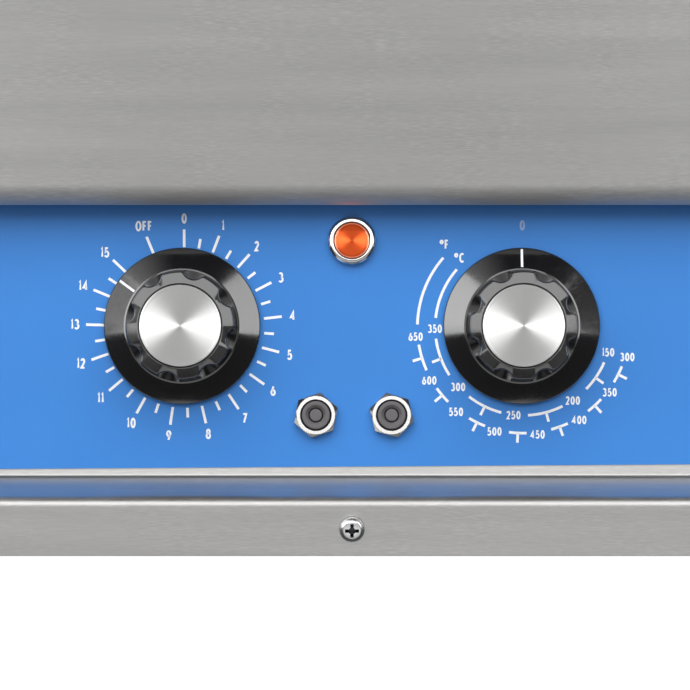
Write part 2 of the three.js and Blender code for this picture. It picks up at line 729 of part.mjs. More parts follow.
// ---- Controls on the leaning panel ----------------------------------------------------------------
// The grip's outline: an arc over each lobe and a scallop between two, one lobe pointing up.
function lobedOutline() {
  const reach = gripRadius - LOBE_DEPTH + LOBE_CUT; // centre of each scallop
  const cosine = (gripRadius ** 2 + reach ** 2 - LOBE_CUT ** 2) / (2 * gripRadius * reach);
  const half = Math.acos(cosine); // half the angle that a scallop takes from the outer circle
  const swing = Math.atan2(gripRadius * Math.sin(half), gripRadius * cosine - reach);
  const pitch = (2 * Math.PI) / LOBES;
  const shape = new THREE.Shape();
  for (let i = 0; i < LOBES; i++) {
    const scallop = Math.PI / 2 + (i + 0.5) * pitch;
    shape.absarc(0, 0, gripRadius, scallop - pitch + half, scallop - half);
    const x = reach * Math.cos(scallop);
    const y = reach * Math.sin(scallop);
    shape.absarc(x, y, LOBE_CUT, scallop - swing, scallop + swing, true);
  }
  return shape;
}

function knobGeometry() {
  const ring = gripRadius + GRIP_RING;
  const skirt = turned(
    [
      [0, knobBack],
      [KNOB_RADIUS - SKIRT_EDGE, knobBack],
      [KNOB_RADIUS, knobBack + SKIRT_EDGE],
      [KNOB_RADIUS, knobBack + 3 * SKIRT_EDGE],
      [KNOB_RADIUS - SKIRT_EDGE, knobBack + 4 * SKIRT_EDGE],
      [ring + SKIRT_EDGE, knobBack + SKIRT_RISE],
      [ring, knobBack + SKIRT_RISE + SKIRT_EDGE],
      [0, knobBack + SKIRT_RISE + SKIRT_EDGE],
    ],
    28,
  );
  const grip = extrude(lobedOutline(), KNOB_HEIGHT - SKIRT_RISE - GRIP_BEVEL, {
    bevelEnabled: true,
    bevelSize: GRIP_BEVEL,
    bevelOffset: -GRIP_BEVEL,
    bevelThickness: GRIP_BEVEL,
    bevelSegments: 1,
    curveSegments: 2,
  }).translate(0, 0, knobBack + SKIRT_RISE);
  const recess = rod(CAP_RADIUS + FIT, knobTop - CAP_THICK - FIT, knobTop + 1, 0, 0, 24);
  const bore = rod(SHAFT_RADIUS + FIT, knobBack - 1, knobBack + SHAFT_GRIP + FIT, 0, 0, 16);
  return cut(join(skirt, grip), recess, bore);
}

function buildControl({ name, x, size, rest }) {
  const place = new THREE.Group();
  place.position.set(x, knobRise, 0);
  panel.add(place);
  const turning = new THREE.Group();
  turning.rotation.z = -rest;
  place.add(turning);

  const [width, height, depth] = size;
  const front = -SHEET - FIT;
  const box = block([-width / 2, -height / 2, front - depth], [width / 2, height / 2, front]);
  const neck = rod(neckRadius, front - 1, overlayFace - FIT);
  const bore = rod(SHAFT_RADIUS + FIT, front - SHAFT_SEAT, overlayFace + 1, 0, 0, 16);
  add(`${name}_body`, cut(join(box, neck), bore), BAKELITE, place);

  const shaft = rod(SHAFT_RADIUS, front - SHAFT_SEAT + FIT, knobBack + SHAFT_GRIP, 0, 0, 16);
  add(`${name}_shaft`, shaft, CHROME, turning);
  add(`${name}_knob`, knobGeometry(), BLACK, turning);
  const cap = rod(CAP_RADIUS, knobTop - CAP_THICK, knobTop + FIT, 0, 0, 24);
  add(`${name}_knob_cap`, cap, SPUN, turning);
}

function buildLamp() {
  const place = new THREE.Group();
  place.position.set(0, lampRise, 0);
  panel.add(place);
  const seat = overlayFace + FIT;
  const outer = LENS_RADIUS + FIT + BEZEL_WALL;
  const bezel = turned([
    [LENS_RADIUS + FIT, seat],
    [outer, seat],
    [outer, seat + BEZEL_HEIGHT - 1.2],
    [outer - 0.8, seat + BEZEL_HEIGHT],
    [outer - 1.1, seat + BEZEL_HEIGHT],
    [LENS_RADIUS + FIT, seat + BEZEL_HEIGHT - 0.5],
    [LENS_RADIUS + FIT, seat],
  ]);
  add('pilot_lamp_bezel', bezel, CHROME, place);
  const lens = turned([
    [0, seat],
    [LENS_RADIUS, seat],
    [LENS_RADIUS, seat + LENS_HEIGHT - 1],
    [LENS_RADIUS - 0.7, seat + LENS_HEIGHT - 0.3],
    [0, seat + LENS_HEIGHT],
  ]);
  add('pilot_lamp_lens', lens, AMBER, place);
  const barrel = turned([
    [0, -LAMP_BARREL],
    [LENS_RADIUS, -LAMP_BARREL],
    [LENS_RADIUS, -SHEET - LAMP_FLANGE],
    [outer, -SHEET - LAMP_FLANGE],
    [outer, -SHEET - FIT],
    [LENS_RADIUS, -SHEET - FIT],
    [LENS_RADIUS, overlayFace - FIT],
    [0, overlayFace - FIT],
  ]);
  add('pilot_lamp_body', barrel, BAKELITE, place);
}

function buildBreaker({ side, x }) {
  const place = new THREE.Group();
  place.position.set(x, BREAKER_RISE, 0);
  panel.add(place);

  const [width, height, depth] = BREAKER_CASE;
  const front = -SHEET - FIT;
  const [low, high] = [BREAKER_LIFT - height / 2, BREAKER_LIFT + height / 2];
  const box = block([-width / 2, low, front - depth], [width / 2, high, front]);
  const neck = rod(BREAKER_NECK, front - 1, BREAKER_REACH);
  const floor = BREAKER_REACH - BUTTON_SINK - BUTTON_LENGTH;
  const bore = rod(BUTTON_RADIUS + FIT, floor - FIT, BREAKER_REACH + 1, 0, 0, 16);
  add(`breaker_${side}_body`, cut(join(box, neck), bore), DARK, place);

  const button = rod(BUTTON_RADIUS, floor, floor + BUTTON_LENGTH, 0, 0, 16);
  add(`breaker_${side}_button`, button, DARK, place);

  const seat = overlayFace + FIT;
  const flat = BREAKER_NECK + NUT_WALL;
  const corner = flat / Math.cos(Math.PI / 6);
  const hex = new THREE.CylinderGeometry(corner, corner, NUT_HEIGHT, 6)
    .rotateX(Math.PI / 2)
    .rotateZ(NUT_TURNS[side])
    .translate(0, 0, seat + NUT_HEIGHT / 2);
  const hole = rod(BREAKER_NECK + FIT, seat - 1, seat + NUT_HEIGHT + 1);
  add(`breaker_${side}_nut`, cut(hex, hole), CHROME, place);
}

// ---- Grease drawer --------------------------------------------------------------------------------
function buildDrawer() {
  const half = DRAWER_WIDTH / 2;
  const top = drawerZ + drawerHeight;
  const outer = block([drawerX - half, apronY, drawerZ], [drawerX + half, apronY + DRAWER_DEPTH, top]);
  const inner = block(
    [drawerX - half + DRAWER_WALL, apronY + DRAWER_WALL, drawerZ + DRAWER_WALL],
    [drawerX + half - DRAWER_WALL, apronY + DRAWER_DEPTH - DRAWER_WALL, top + 1],
  );
  add('grease_drawer', cut(outer, inner), BRUSHED);

  const lap = DRAWER_MARGIN + FRONT_LAP;
  const faceY = apronY - FIT;
  const face = block(
    [drawerX - half - lap, faceY - SHEET, drawerZ - FRONT_DROP],
    [drawerX + half + lap, faceY, top + lap],
  );
  add('drawer_front', face, BRUSHED);

  const z = drawerZ + drawerHeight / 2;
  const back = faceY - SHEET - FIT;
  const [x0, x1] = [drawerX - HANDLE_WIDTH / 2, drawerX + HANDLE_WIDTH / 2];
  const grip = back - HANDLE_REACH;
  const bow = [[x0, back, z], [x0, grip, z], [x1, grip, z], [x1, back, z]];
  add('drawer_handle', bar(bow, HANDLE_BEND, HANDLE_RADIUS, 8, 20), CHROME);

  const webX = half + SLACK + DRAWER_WALL;
  const foot = drawerZ - FIT - DRAWER_WALL;
  for (const [name, sign] of [['left', -1], ['right', 1]]) {
    const angle = [
      [drawerX + sign * (webX - SLIDE_FLANGE), foot],
      [drawerX + sign * webX, foot, SLIDE_FOLD],
      [drawerX + sign * webX, foot + SLIDE_WEB],
    ];
    const section = strip(sign > 0 ? angle : angle.reverse(), DRAWER_WALL);
    add(`drawer_rail_${name}`, backward(section, apronY + SHEET + FIT, apronY + DRAWER_DEPTH), ZINC);
  }
}

// ---- Legs, screws and mains inlet -----------------------------------------------------------------
function buildLegs() {
  const top = LEG_HEIGHT - FIT;
  const bottom = FOOT_HEIGHT + FIT;
  const stemTop = LEG_HEIGHT - STEM_CLEAR;
  const leg = [
    [0, stemTop + STEM_ROOM],
    [STEM_RADIUS + SLACK, stemTop + STEM_ROOM],
    [STEM_RADIUS + SLACK, bottom],
    [LEG_RADIUS - LEG_TAPER, bottom],
    [LEG_RADIUS, top - LEG_FLANGE_THICK],
    [LEG_FLANGE, top - LEG_FLANGE_THICK],
    [LEG_FLANGE, top],
    [0, top],
  ];
  const waist = LEG_RADIUS - LEG_TAPER - FOOT_EASE;
  const foot = [
    [0, 0],
    [FOOT_RADIUS - FOOT_EASE, 0],
    [FOOT_RADIUS, FOOT_EASE],
    [FOOT_RADIUS, FOOT_SOLE],
    [waist, FOOT_SOLE + FOOT_SHOULDER],
    [waist, FOOT_HEIGHT],
    [STEM_RADIUS, FOOT_HEIGHT],
    [STEM_RADIUS, stemTop],
    [0, stemTop],
  ];
  for (const [end, y] of [['front', LEG_INSET], ['rear', DEPTH - LEG_INSET]]) {
    for (const [side, x] of [['left', LEG_INSET - WIDTH / 2], ['right', WIDTH / 2 - LEG_INSET]]) {
      add(`leg_${end}_${side}`, turned(leg, 16), CHROME).position.set(x, y, 0);
      add(`foot_${end}_${side}`, turned(foot, 16), RUBBER).position.set(x, y, 0);
    }
  }
}

function buildScrews() {
  const head = turned(
    [
      [0, -SCREW_LENGTH],
      [SCREW_RADIUS, -SCREW_LENGTH],
      [SCREW_RADIUS, FIT],
      [SCREW_HEAD_RADIUS, FIT],
      [SCREW_HEAD_RADIUS, FIT + 1.4],
      [SCREW_HEAD_RADIUS - 1, FIT + SCREW_HEAD - 0.3],
      [0, FIT + SCREW_HEAD],
    ],
    12,
  );
  const [arm, slot, depth] = SCREW_CROSS;
  const top = FIT + SCREW_HEAD;
  const upright = block([-slot, -arm, top - depth], [slot, arm, top + 1]);
  const level = block([-arm, -slot, top - depth], [arm, slot, top + 1]);
  for (const [name, x] of Object.entries(screwXs)) {
    const screw = add(`front_screw_${name}`, cut(head, upright, level), CHROME);
    screw.rotation.x = Math.PI / 2;
    screw.position.set(x, 0, screwZ);
  }
}

function buildInlet() {
  const inside = -SKIN - GLAND_THREAD;
  const wide = GLAND_RADIUS + GLAND_HEX;
  const gland = turned([
    [GLAND_BORE, inside],
    [GLAND_RADIUS, inside],
    [GLAND_RADIUS, FIT],
    [wide, FIT],
    [wide, GLAND_REACH / 2],
    [GLAND_RADIUS + 1, GLAND_REACH - 2],
    [GLAND_RADIUS - 1, GLAND_REACH],
    [GLAND_BORE, GLAND_REACH],
    [GLAND_BORE, inside],
  ]);
  gland.rotateX(-Math.PI / 2).translate(glandX, DEPTH, glandZ);
  add('cable_gland', gland, BAKELITE);

  const corner = wide / Math.cos(Math.PI / 6);
  const middle = -SKIN - FIT - GLAND_NUT / 2;
  const hex = new THREE.CylinderGeometry(corner, corner, GLAND_NUT, 6).translate(0, middle, 0);
  const hole = rod(GLAND_RADIUS + FIT, inside, 1).rotateX(-Math.PI / 2);
  const nut = cut(hex, hole).translate(glandX, DEPTH, glandZ);
  add('gland_locknut', nut, BAKELITE);

  const [width, depth, height] = TERMINAL_BLOCK;
  const [slotWidth, slotBack, slotDepth] = TERMINAL_SLOT;
  const floor = LEG_HEIGHT + SHEET + FIT;
  const housing = block([-width / 2, -depth / 2, 0], [width / 2, depth / 2, height]);
  const slots = Array.from({ length: TERMINAL_WAYS }, (_, i) => {
    const x = (i - (TERMINAL_WAYS - 1) / 2) * (width / TERMINAL_WAYS);
    const [low, high] = [x - slotWidth / 2, x + slotWidth / 2];
    return block([low, -slotBack, height - slotDepth], [high, depth, height + 1]);
  });
  const terminals = add('terminal_block', cut(housing, ...slots), WOOL);
  terminals.position.set(glandX, rearY - TERMINAL_INSET, floor);
}

buildConsole();
buildOverlay();
buildApron();
buildSides();
buildRear();
buildBasePan();
buildGuard();
buildPlate();
buildPlateRails();
buildTrough();
buildChute();
buildElements();
buildClamps();
buildBlanket();
buildShield();
buildSensor();
controls.forEach(buildControl);
buildLamp();
breakers.forEach(buildBreaker);
buildDrawer();
buildLegs();
buildScrews();
buildInlet();

// The origin goes under the middle, between the screw heads in front and the gland behind.
body.position.y = (SCREW_HEAD + FIT - (DEPTH + GLAND_REACH)) / 2;
const griddle = new THREE.Group();
griddle.add(body);
export default griddle;
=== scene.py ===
"""Fine meshes, finishes and a studio for a countertop flat top griddle, built around its CAD frame."""
import json
import math
from functools import partial

import bmesh
import bpy
from bpy.props import FloatProperty, FloatVectorProperty, IntProperty, PointerProperty
from mathutils import Matrix, Vector, noise


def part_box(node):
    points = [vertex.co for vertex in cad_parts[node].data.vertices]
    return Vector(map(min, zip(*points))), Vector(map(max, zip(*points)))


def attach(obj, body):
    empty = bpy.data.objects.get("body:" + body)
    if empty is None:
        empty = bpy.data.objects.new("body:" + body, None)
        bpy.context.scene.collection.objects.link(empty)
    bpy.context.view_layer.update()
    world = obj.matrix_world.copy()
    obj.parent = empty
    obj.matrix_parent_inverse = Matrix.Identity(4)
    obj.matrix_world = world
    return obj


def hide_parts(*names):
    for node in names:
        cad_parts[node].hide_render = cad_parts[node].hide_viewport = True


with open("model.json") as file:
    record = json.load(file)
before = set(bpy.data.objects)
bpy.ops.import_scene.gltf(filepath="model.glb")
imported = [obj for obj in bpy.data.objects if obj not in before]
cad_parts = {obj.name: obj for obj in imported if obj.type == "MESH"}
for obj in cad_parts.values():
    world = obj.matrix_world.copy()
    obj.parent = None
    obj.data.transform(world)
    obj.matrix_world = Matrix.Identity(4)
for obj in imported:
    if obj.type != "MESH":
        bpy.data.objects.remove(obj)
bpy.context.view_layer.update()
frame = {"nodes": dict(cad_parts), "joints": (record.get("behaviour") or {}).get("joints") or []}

bl_info = {
    "name": "Flat Top Griddle",
    "version": (1, 0, 0),
    "blender": (4, 5, 0),
    "location": "View3D > Sidebar > Griddle",
    "description": "Builds the looks of a countertop flat top griddle around its CAD frame",
    "category": "Add Mesh",
}

MM = 0.001
TAU = 2 * math.pi
FEET = ("front_left", "front_right", "rear_left", "rear_right")
SIDES = ("left", "right")
GRIP_WALL = 4.35 * MM  # from a cap's edge to its grip's
SKIRT_RISE = 5 * MM  # from a dial's underside to the foot of its grip
BREAKER_NECK = 4.7 * MM
NECK_SHOWN = 4.5 * MM  # the threaded neck inside its nut
NUT_WALL = 1.65 * MM
CASE_TOP = -1.8 * MM
NECK_FOOT = -10 * MM


# ---- The leaning panel's axes ----------------------------------------------------------------------
def joint(name):
    return next(j for j in frame["joints"] if j["name"] == name)


DIALS = {
    "timer": Vector(joint("timer_turn")["pos_m"]),
    "thermostat": Vector(joint("thermostat_turn")["pos_m"]),
}
OUT = -Vector(joint("timer_turn")["axis"]).normalized()
ACROSS = Vector((1, 0, 0))
UP = OUT.cross(ACROSS)
MIDDLE = (DIALS["timer"] + DIALS["thermostat"]) / 2
PANEL = Matrix.Translation(MIDDLE) @ Matrix((ACROSS, UP, OUT)).transposed().to_4x4()
TO_PANEL = PANEL.inverted()


def panel_box(node):
    """A CAD node's lowest and highest corners in the panel's axes: across, up the slope and out."""
    corners = [TO_PANEL @ v.co for v in frame["nodes"][node].data.vertices]
    low = Vector(min(c[i] for c in corners) for i in range(3))
    high = Vector(max(c[i] for c in corners) for i in range(3))
    return low, high


def panel_spot(node):
    """Where a round node's axis meets the panel, as a matrix that carries a piece made about the origin."""
    low, high = panel_box(node)
    return PANEL @ Matrix.Translation(((low.x + high.x) / 2, (low.y + high.y) / 2, 0))


FLANGE, CONSOLE_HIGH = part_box("console_front")
APRON_LOW, APRON_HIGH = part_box("front_apron")
OVERLAY_FACE = panel_box("panel_overlay")[1].z


# ---- Sizes and colours that a user would change -----------------------------------------------------
def length(name, description, default):
    return FloatProperty(name=name, description=description, default=default, unit="LENGTH", precision=5)


def colour(name, description, default):
    return FloatVectorProperty(
        name=name, description=description, default=default, subtype="COLOR", size=3, min=0, max=1
    )


class GriddleSheet(bpy.types.PropertyGroup):
    """Sizes of the folded sheet work."""

    gauge: length("Gauge", "Thickness of the folded sheets", 1.5 * MM)
    fold: length("Fold", "Outside radius of the console's folds", 3 * MM)
    inner_fold: length("Inner Fold", "Inside radius of the fold between the ledge and the panel", 1.2 * MM)
    flange: length("Flange", "Height of the console's front flange", 19 * MM)
    rim_round: length("Rim Round", "Outside radius of the apron's upper fold", 6 * MM)
    apron_round: length("Apron Round", "Outside radius of the apron's lower fold", 8 * MM)
    guard_round: length("Guard Round", "Outside radius of the splash guard's rear corners", 10 * MM)
    edge: length("Edge", "Softening of the cut edges", 0.2 * MM)


class GriddleControls(bpy.types.PropertyGroup):
    """Sizes of the dials and what is printed around them."""

    skirt_edge: length("Skirt Edge", "Rounding of the dial skirt's rim", 0.5 * MM)
    grip_bead: length("Grip Bead", "Width of the raised ring around the grip's foot", 0.7 * MM)
    lobe_depth: length("Lobe Depth", "Depth of the scallops in the grip", 2 * MM)
    lobe_cut: length("Lobe Cut", "Radius of the scallops in the grip", 3.7 * MM)
    lobes: IntProperty(name="Lobes", description="Lobes around the grip", default=8, min=3)
    pointer_width: length("Pointer Width", "Width of the dial's pointer line", 0.75 * MM)
    print_width: length("Print Width", "Width of the scale's printed lines", 0.85 * MM)
    print_thick: length("Print Thickness", "Thickness of the printed film", 0.04 * MM)
    minutes: IntProperty(name="Minutes", description="Longest time on the timer's scale", default=15, min=5)


class GriddleColours(bpy.types.PropertyGroup):
    """Colours of the finishes."""

    steel: colour("Steel", "Brushed stainless sheet", (0.6, 0.595, 0.585))
    plate: colour("Cooking Plate", "Ground steel plate", (0.42, 0.405, 0.39))
    film: colour("Overlay", "Film on the control panel", (0.041, 0.228, 0.66))
    ink: colour("Ink", "Print on the overlay and the dials", (0.93, 0.95, 0.98))
    moulding: colour("Dial", "Glossy dial moulding", (0.008, 0.008, 0.009))
    lens: colour("Lens", "Pilot lamp lens", (0.98, 0.14, 0.028))


def settings():
    return bpy.context.scene.griddle_sheet, bpy.context.scene.griddle_controls


# ---- Sections and solids ----------------------------------------------------------------------------
ARC_STEP = math.radians(7.5)
SMOOTH_ANGLE = math.radians(32)


def trace(corners, closed=False):
    """Follows corners (a, b, radius) and gives each point with the unit vector to its left."""
    stations, count = [], len(corners)
    for i, (a, b, *rest) in enumerate(corners):
        here, radius = Vector((a, b)), rest[0] if rest else 0.0

        def toward(j):
            return (Vector(corners[j % count][:2]) - here).normalized()

        if radius == 0 or (not closed and i in (0, count - 1)):
            along = -toward(i - 1) if i == count - 1 and not closed else toward(i + 1)
            stations.append((here, Vector((-along.y, along.x))))
            continue
        back, ahead = toward(i - 1), toward(i + 1)
        turn = math.copysign(1, ahead.x * back.y - ahead.y * back.x)
        half = math.acos(back.dot(ahead)) / 2
        centre = here + (back + ahead).normalized() * radius / math.sin(half)
        first = here + back * radius / math.tan(half) - centre
        sweep = math.pi - 2 * half
        steps = max(2, round(sweep / ARC_STEP))
        for k in range(steps + 1):
            spoke = Matrix.Rotation(turn * sweep * k / steps, 2) @ first
            stations.append((centre + spoke, spoke * (-turn / radius)))
    return stations


def outline(corners, closed=True):
    return [at for at, _ in trace(corners, closed)]


def section_yz(a, b, c):
    return (c, a, b)


def section_xz(a, b, c):
    return (a, c, b)


def section_xy(a, b, c):
    return (a, b, c)


def folded(corners, thick, low, high, place):
    """A folded sheet: its visible face follows the corners, its back lies to their left."""
    bm, rings = bmesh.new(), []
    stations = trace(corners)
    for c in (low, high):
        face = [bm.verts.new(place(*at, c)) for at, _ in stations]
        back = [bm.verts.new(place(*(at + left * thick), c)) for at, left in stations]
        rings.append(face + back[::-1])
    bridge(bm, *rings)
    count, total = len(stations), 2 * len(stations)
    for ring in rings:
        for i in range(count - 1):
            bm.faces.new((ring[i], ring[i + 1], ring[total - 2 - i], ring[total - 1 - i]))
    return bm


def bridge(bm, low, high):
    """Side faces between two closed rings of vertices."""
    for i in range(len(low)):
        j = (i + 1) % len(low)
        bm.faces.new((low[i], low[j], high[j], high[i]))


def prism(points, low, high, place=section_xy, bm=None):
    """A solid of one flat outline, carried from low to high."""
    bm = bm or bmesh.new()
    rings = [[bm.verts.new(place(*p, c)) for p in points] for c in (low, high)]
    bridge(bm, *rings)
    bm.faces.new(rings[0][::-1])
    bm.faces.new(rings[1])
    return bm


def loft(rings):
    """A solid through closed rings of points, its two ends closed to a pole."""
    bm = bmesh.new()
    made = [[bm.verts.new(p) for p in ring] for ring in rings]
    for low, high in zip(made, made[1:]):
        bridge(bm, low, high)
    for ring in (made[0], made[-1]):
        middle = sum((v.co for v in ring), Vector()) / len(ring)
        pole = bm.verts.new(middle)
        for i, vertex in enumerate(ring):
            bm.faces.new((vertex, ring[(i + 1) % len(ring)], pole))
    return bm


def turned(profile, sides=64):
    """A body turned about z from (radius, z, rounding) corners, from the axis to the axis or closed on itself."""
    bm = bmesh.new()
    on_axis = profile[0][0] == 0
    path = outline(profile, closed=not on_axis)
    angles = [TAU * i / sides for i in range(sides)]
    rings = []
    for radius, z in path:
        if radius < 1e-7:
            rings.append([bm.verts.new((0, 0, z))] * sides)
        else:
            rings.append([bm.verts.new((radius * math.cos(a), radius * math.sin(a), z)) for a in angles])
    pairs = list(zip(rings, rings[1:])) + ([] if on_axis else [(rings[-1], rings[0])])
    for low, high in pairs:
        for i in range(sides):
            j = (i + 1) % sides
            corners = dict.fromkeys((low[i], low[j], high[j], high[i]))
            bm.faces.new(corners)
    return bm


def box_solid(low, high, bm=None):
    points = [(low[0], low[1]), (high[0], low[1]), (high[0], high[1]), (low[0], high[1])]
    return prism(points, low[2], high[2], bm=bm)


def angles_of(sides):
    return [TAU * i / sides for i in range(sides)]


def level_ring(sides, radius, z):
    """A circle of points about z."""
    return [Vector((radius * math.cos(a), radius * math.sin(a), z)) for a in angles_of(sides)]


def moved(bm, matrix):
    """A solid, carried by a matrix."""
    bmesh.ops.transform(bm, matrix=matrix, verts=bm.verts)
    return bm


def absorb(bm, part):
    """Adds one solid to another."""
    mesh = bpy.data.meshes.new("part")
    part.to_mesh(mesh)
    part.free()
    bm.from_mesh(mesh)
    bpy.data.meshes.remove(mesh)


def mesh_object(name, bm, place=Matrix.Identity(4)):
    """Turns a bmesh into an object at the origin, its place in its mesh and its faces pointing out."""
    moved(bm, place)
    bmesh.ops.recalc_face_normals(bm, faces=bm.faces)
    mesh = bpy.data.meshes.new(name)
    bm.to_mesh(mesh)
    bm.free()
    made = bpy.data.objects.new(name, mesh)
    bpy.context.scene.collection.objects.link(made)
    return made


def apply_modifiers(made):
    """Keeps what the modifiers make as a plain mesh."""
    evaluated = made.evaluated_get(bpy.context.evaluated_depsgraph_get())
    mesh = bpy.data.meshes.new_from_object(evaluated)
    mesh.name = made.name
    made.modifiers.clear()
    made.data = mesh
    return made


def carve(made, cutters):
    """Cuts the given solids out of a piece."""
    tools = [mesh_object("cutter", bm) for bm in cutters]
    for tool in tools:
        modifier = made.modifiers.new("carve", "BOOLEAN")
        modifier.operation = "DIFFERENCE"
        modifier.solver = "EXACT"
        modifier.object = tool
    apply_modifiers(made)
    for tool in tools:
        bpy.data.objects.remove(tool)
    return made


def soften(made, width, segments=2):
    """Rounds a piece's sharp edges."""
    modifier = made.modifiers.new("soften", "BEVEL")
    modifier.width = width
    modifier.segments = segments
    modifier.limit_method = "ANGLE"
    modifier.angle_limit = SMOOTH_ANGLE
    modifier.use_clamp_overlap = True
    return apply_modifiers(made)


def finish_piece(made, finish, body, slot, *nodes):
    """Shades a finished piece, gives it its finish and hangs it on its body in place of the CAD nodes."""
    made.data.materials.clear()
    made.data.materials.append(material(finish))
    made.data.polygons.foreach_set("material_index", [0] * len(made.data.polygons))
    made.data.shade_smooth()
    made.data.set_sharp_from_angle(angle=SMOOTH_ANGLE)
    modifier = made.modifiers.new("normals", "WEIGHTED_NORMAL")
    modifier.mode = "FACE_AREA"
    modifier.weight = 100
    modifier.keep_sharp = True
    apply_modifiers(made)
    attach(made, body)
    if nodes:
        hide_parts(*nodes)
    return made


# ---- Nodes -------------------------------------------------------------------------------------------
def put(tree, socket, value):
    """Links a socket or sets its value. A colour may leave out its alpha."""
    if isinstance(value, bpy.types.NodeSocket):
        tree.links.new(value, socket)
    else:
        socket.default_value = (*value, 1) if socket.type == "RGBA" and len(value) == 3 else value


def add_node(tree, kind, inputs=None, **options):
    node = tree.nodes.new(kind)
    for option, value in options.items():
        setattr(node, option, value)
    for key, value in (inputs or {}).items():
        put(tree, node.inputs[key], value)
    return node


def math_node(tree, operation, first, second):
    return add_node(tree, "ShaderNodeMath", {0: first, 1: second}, operation=operation).outputs[0]


# ---- Finishes ----------------------------------------------------------------------------------------
class Finish:
    """A material whose nodes are added one by one in front of its surface shader."""

    def __init__(self, name, **surface):
        self.material = bpy.data.materials.new(name)
        self.material.use_nodes = True
        self.tree = self.material.node_tree
        self.surface = self.tree.nodes["Principled BSDF"]
        for socket, value in surface.items():
            self.set(socket, value)
        self.place = self.add("ShaderNodeTexCoord").outputs["Object"]

    def add(self, kind, inputs=None, **options):
        return add_node(self.tree, kind, inputs, **options)

    def set(self, socket, value):
        put(self.tree, self.surface.inputs[socket], value)

    def mapped(self, scale):
        return self.add("ShaderNodeMapping", {"Vector": self.place, "Scale": scale}).outputs[0]

    def noise(self, scale, detail=2.0, roughness=0.5):
        """Noise with its own number of features per metre along each axis."""
        inputs = {"Vector": self.mapped(scale), "Scale": 1.0, "Detail": detail, "Roughness": roughness}
        return self.add("ShaderNodeTexNoise", inputs).outputs["Fac"]

    def span(self, value, low, high, from_low=0.3, from_high=0.7):
        """Carries a value from one span into another."""
        inputs = {"Value": value, "From Min": from_low, "From Max": from_high, "To Min": low, "To Max": high}
        return self.add("ShaderNodeMapRange", inputs).outputs[0]

    def sum(self, first, second):
        return math_node(self.tree, "ADD", first, second)

    def times(self, first, second):
        return math_node(self.tree, "MULTIPLY", first, second)

    def vector(self, operation, first, second=(0, 0, 0), result="Vector"):
        return self.add("ShaderNodeVectorMath", {0: first, 1: second}, operation=operation).outputs[result]

    def shade(self, amount, dark, light, blend_type="MIX"):
        """A colour between dark and light."""
        inputs = {0: amount, 6: dark, 7: light}
        return self.add("ShaderNodeMix", inputs, data_type="RGBA", blend_type=blend_type).outputs[2]

    def tint(self, base, amount, spread):
        """The base colour, made darker and lighter by a share."""
        dark = [c * (1 - spread) for c in base]
        light = [min(1, c * (1 + spread)) for c in base]
        self.set("Base Color", self.shade(amount, dark, light))

    def bump(self, height, depth, strength=1.0):
        inputs = {"Height": height, "Distance": depth, "Strength": strength}
        self.set("Normal", self.add("ShaderNodeBump", inputs).outputs[0])

    def grain(self, direction):
        """Stretches reflections across the grain."""
        self.set("Tangent", self.add("ShaderNodeCombineXYZ", dict(enumerate(direction))).outputs[0])

    def from_axis(self, centre, axis):
        """Distance from an axis, and the direction away from it, for what is turned or spun."""
        away = self.vector("SUBTRACT", self.place, centre)
        drop = self.vector("DOT_PRODUCT", away, axis, "Value")
        along = self.add("ShaderNodeVectorMath", {0: axis, "Scale": drop}, operation="SCALE").outputs[0]
        flat = self.vector("SUBTRACT", away, along)
        return self.vector("LENGTH", flat, result="Value"), flat

    def spun(self, centre, axis, pitch):
        """Circular grain about an axis. Returns the noise that follows it."""
        radius, flat = self.from_axis(centre, axis)
        turns = {"vector_type": "VECTOR", "convert_from": "OBJECT", "convert_to": "WORLD"}
        self.set("Tangent", self.add("ShaderNodeVectorTransform", {"Vector": flat}, **turns).outputs[0])
        inputs = {"W": self.times(radius, 1 / pitch), "Scale": 1.0, "Detail": 3.0}
        return self.add("ShaderNodeTexNoise", inputs, noise_dimensions="1D").outputs["Fac"]


MATERIALS = {}


def material(name):
    """Makes each finish once, when it is first asked for."""
    if name not in MATERIALS:
        MATERIALS[name] = RECIPES[name]()
    return MATERIALS[name]


def brushed(name, base, along, roughness=0.37):
    """Sheet with a straight grain along one axis: fine dashes, painted glints in patches, and stretched
    reflections.
    """
    finish = Finish(name, Metallic=1.0, Anisotropic=0.4)
    scale = [170 if axis == along else 2600 for axis in "XYZ"]
    dashes = finish.noise(scale, 3.0, 0.6)
    clouds = finish.noise([share / 16 for share in scale], 2.0)
    # Bright specks in patches, added to the colour below, are painted glints; the dashes and clouds are the grain's
    # own tone.
    painted_glint_specks = finish.noise([280 if axis == along else 3400 for axis in "XYZ"], 1.0)
    glint_patches = finish.noise((50, 50, 50), 2.0)
    bright = finish.times(finish.span(painted_glint_specks, -0.4, 1, 0.42, 0.7), finish.span(glint_patches, 0, 1, 0.3, 0.7))
    grain = finish.sum(finish.span(dashes, 0, 0.35), finish.span(clouds, 0, 0.25))
    finish.tint(base, finish.sum(grain, finish.times(bright, 0.4)), 0.17)
    finish.set("Roughness", finish.span(dashes, roughness - 0.03, roughness + 0.05))
    finish.set("Anisotropic Rotation", 0.25)
    finish.bump(dashes, 0.004 * MM, 0.5)
    finish.grain([float(axis == along) for axis in "XYZ"])
    return finish.material


def steel_across():
    return brushed("steel_across", bpy.context.scene.griddle_colours.steel, "X")


def steel_apron():
    """The same sheet, rougher, with its colour painted darker as shade."""
    base = [share * 0.88 for share in bpy.context.scene.griddle_colours.steel]
    return brushed("steel_apron", base, "X", 0.6)


def steel_back():
    return brushed("steel_back", bpy.context.scene.griddle_colours.steel, "Y")


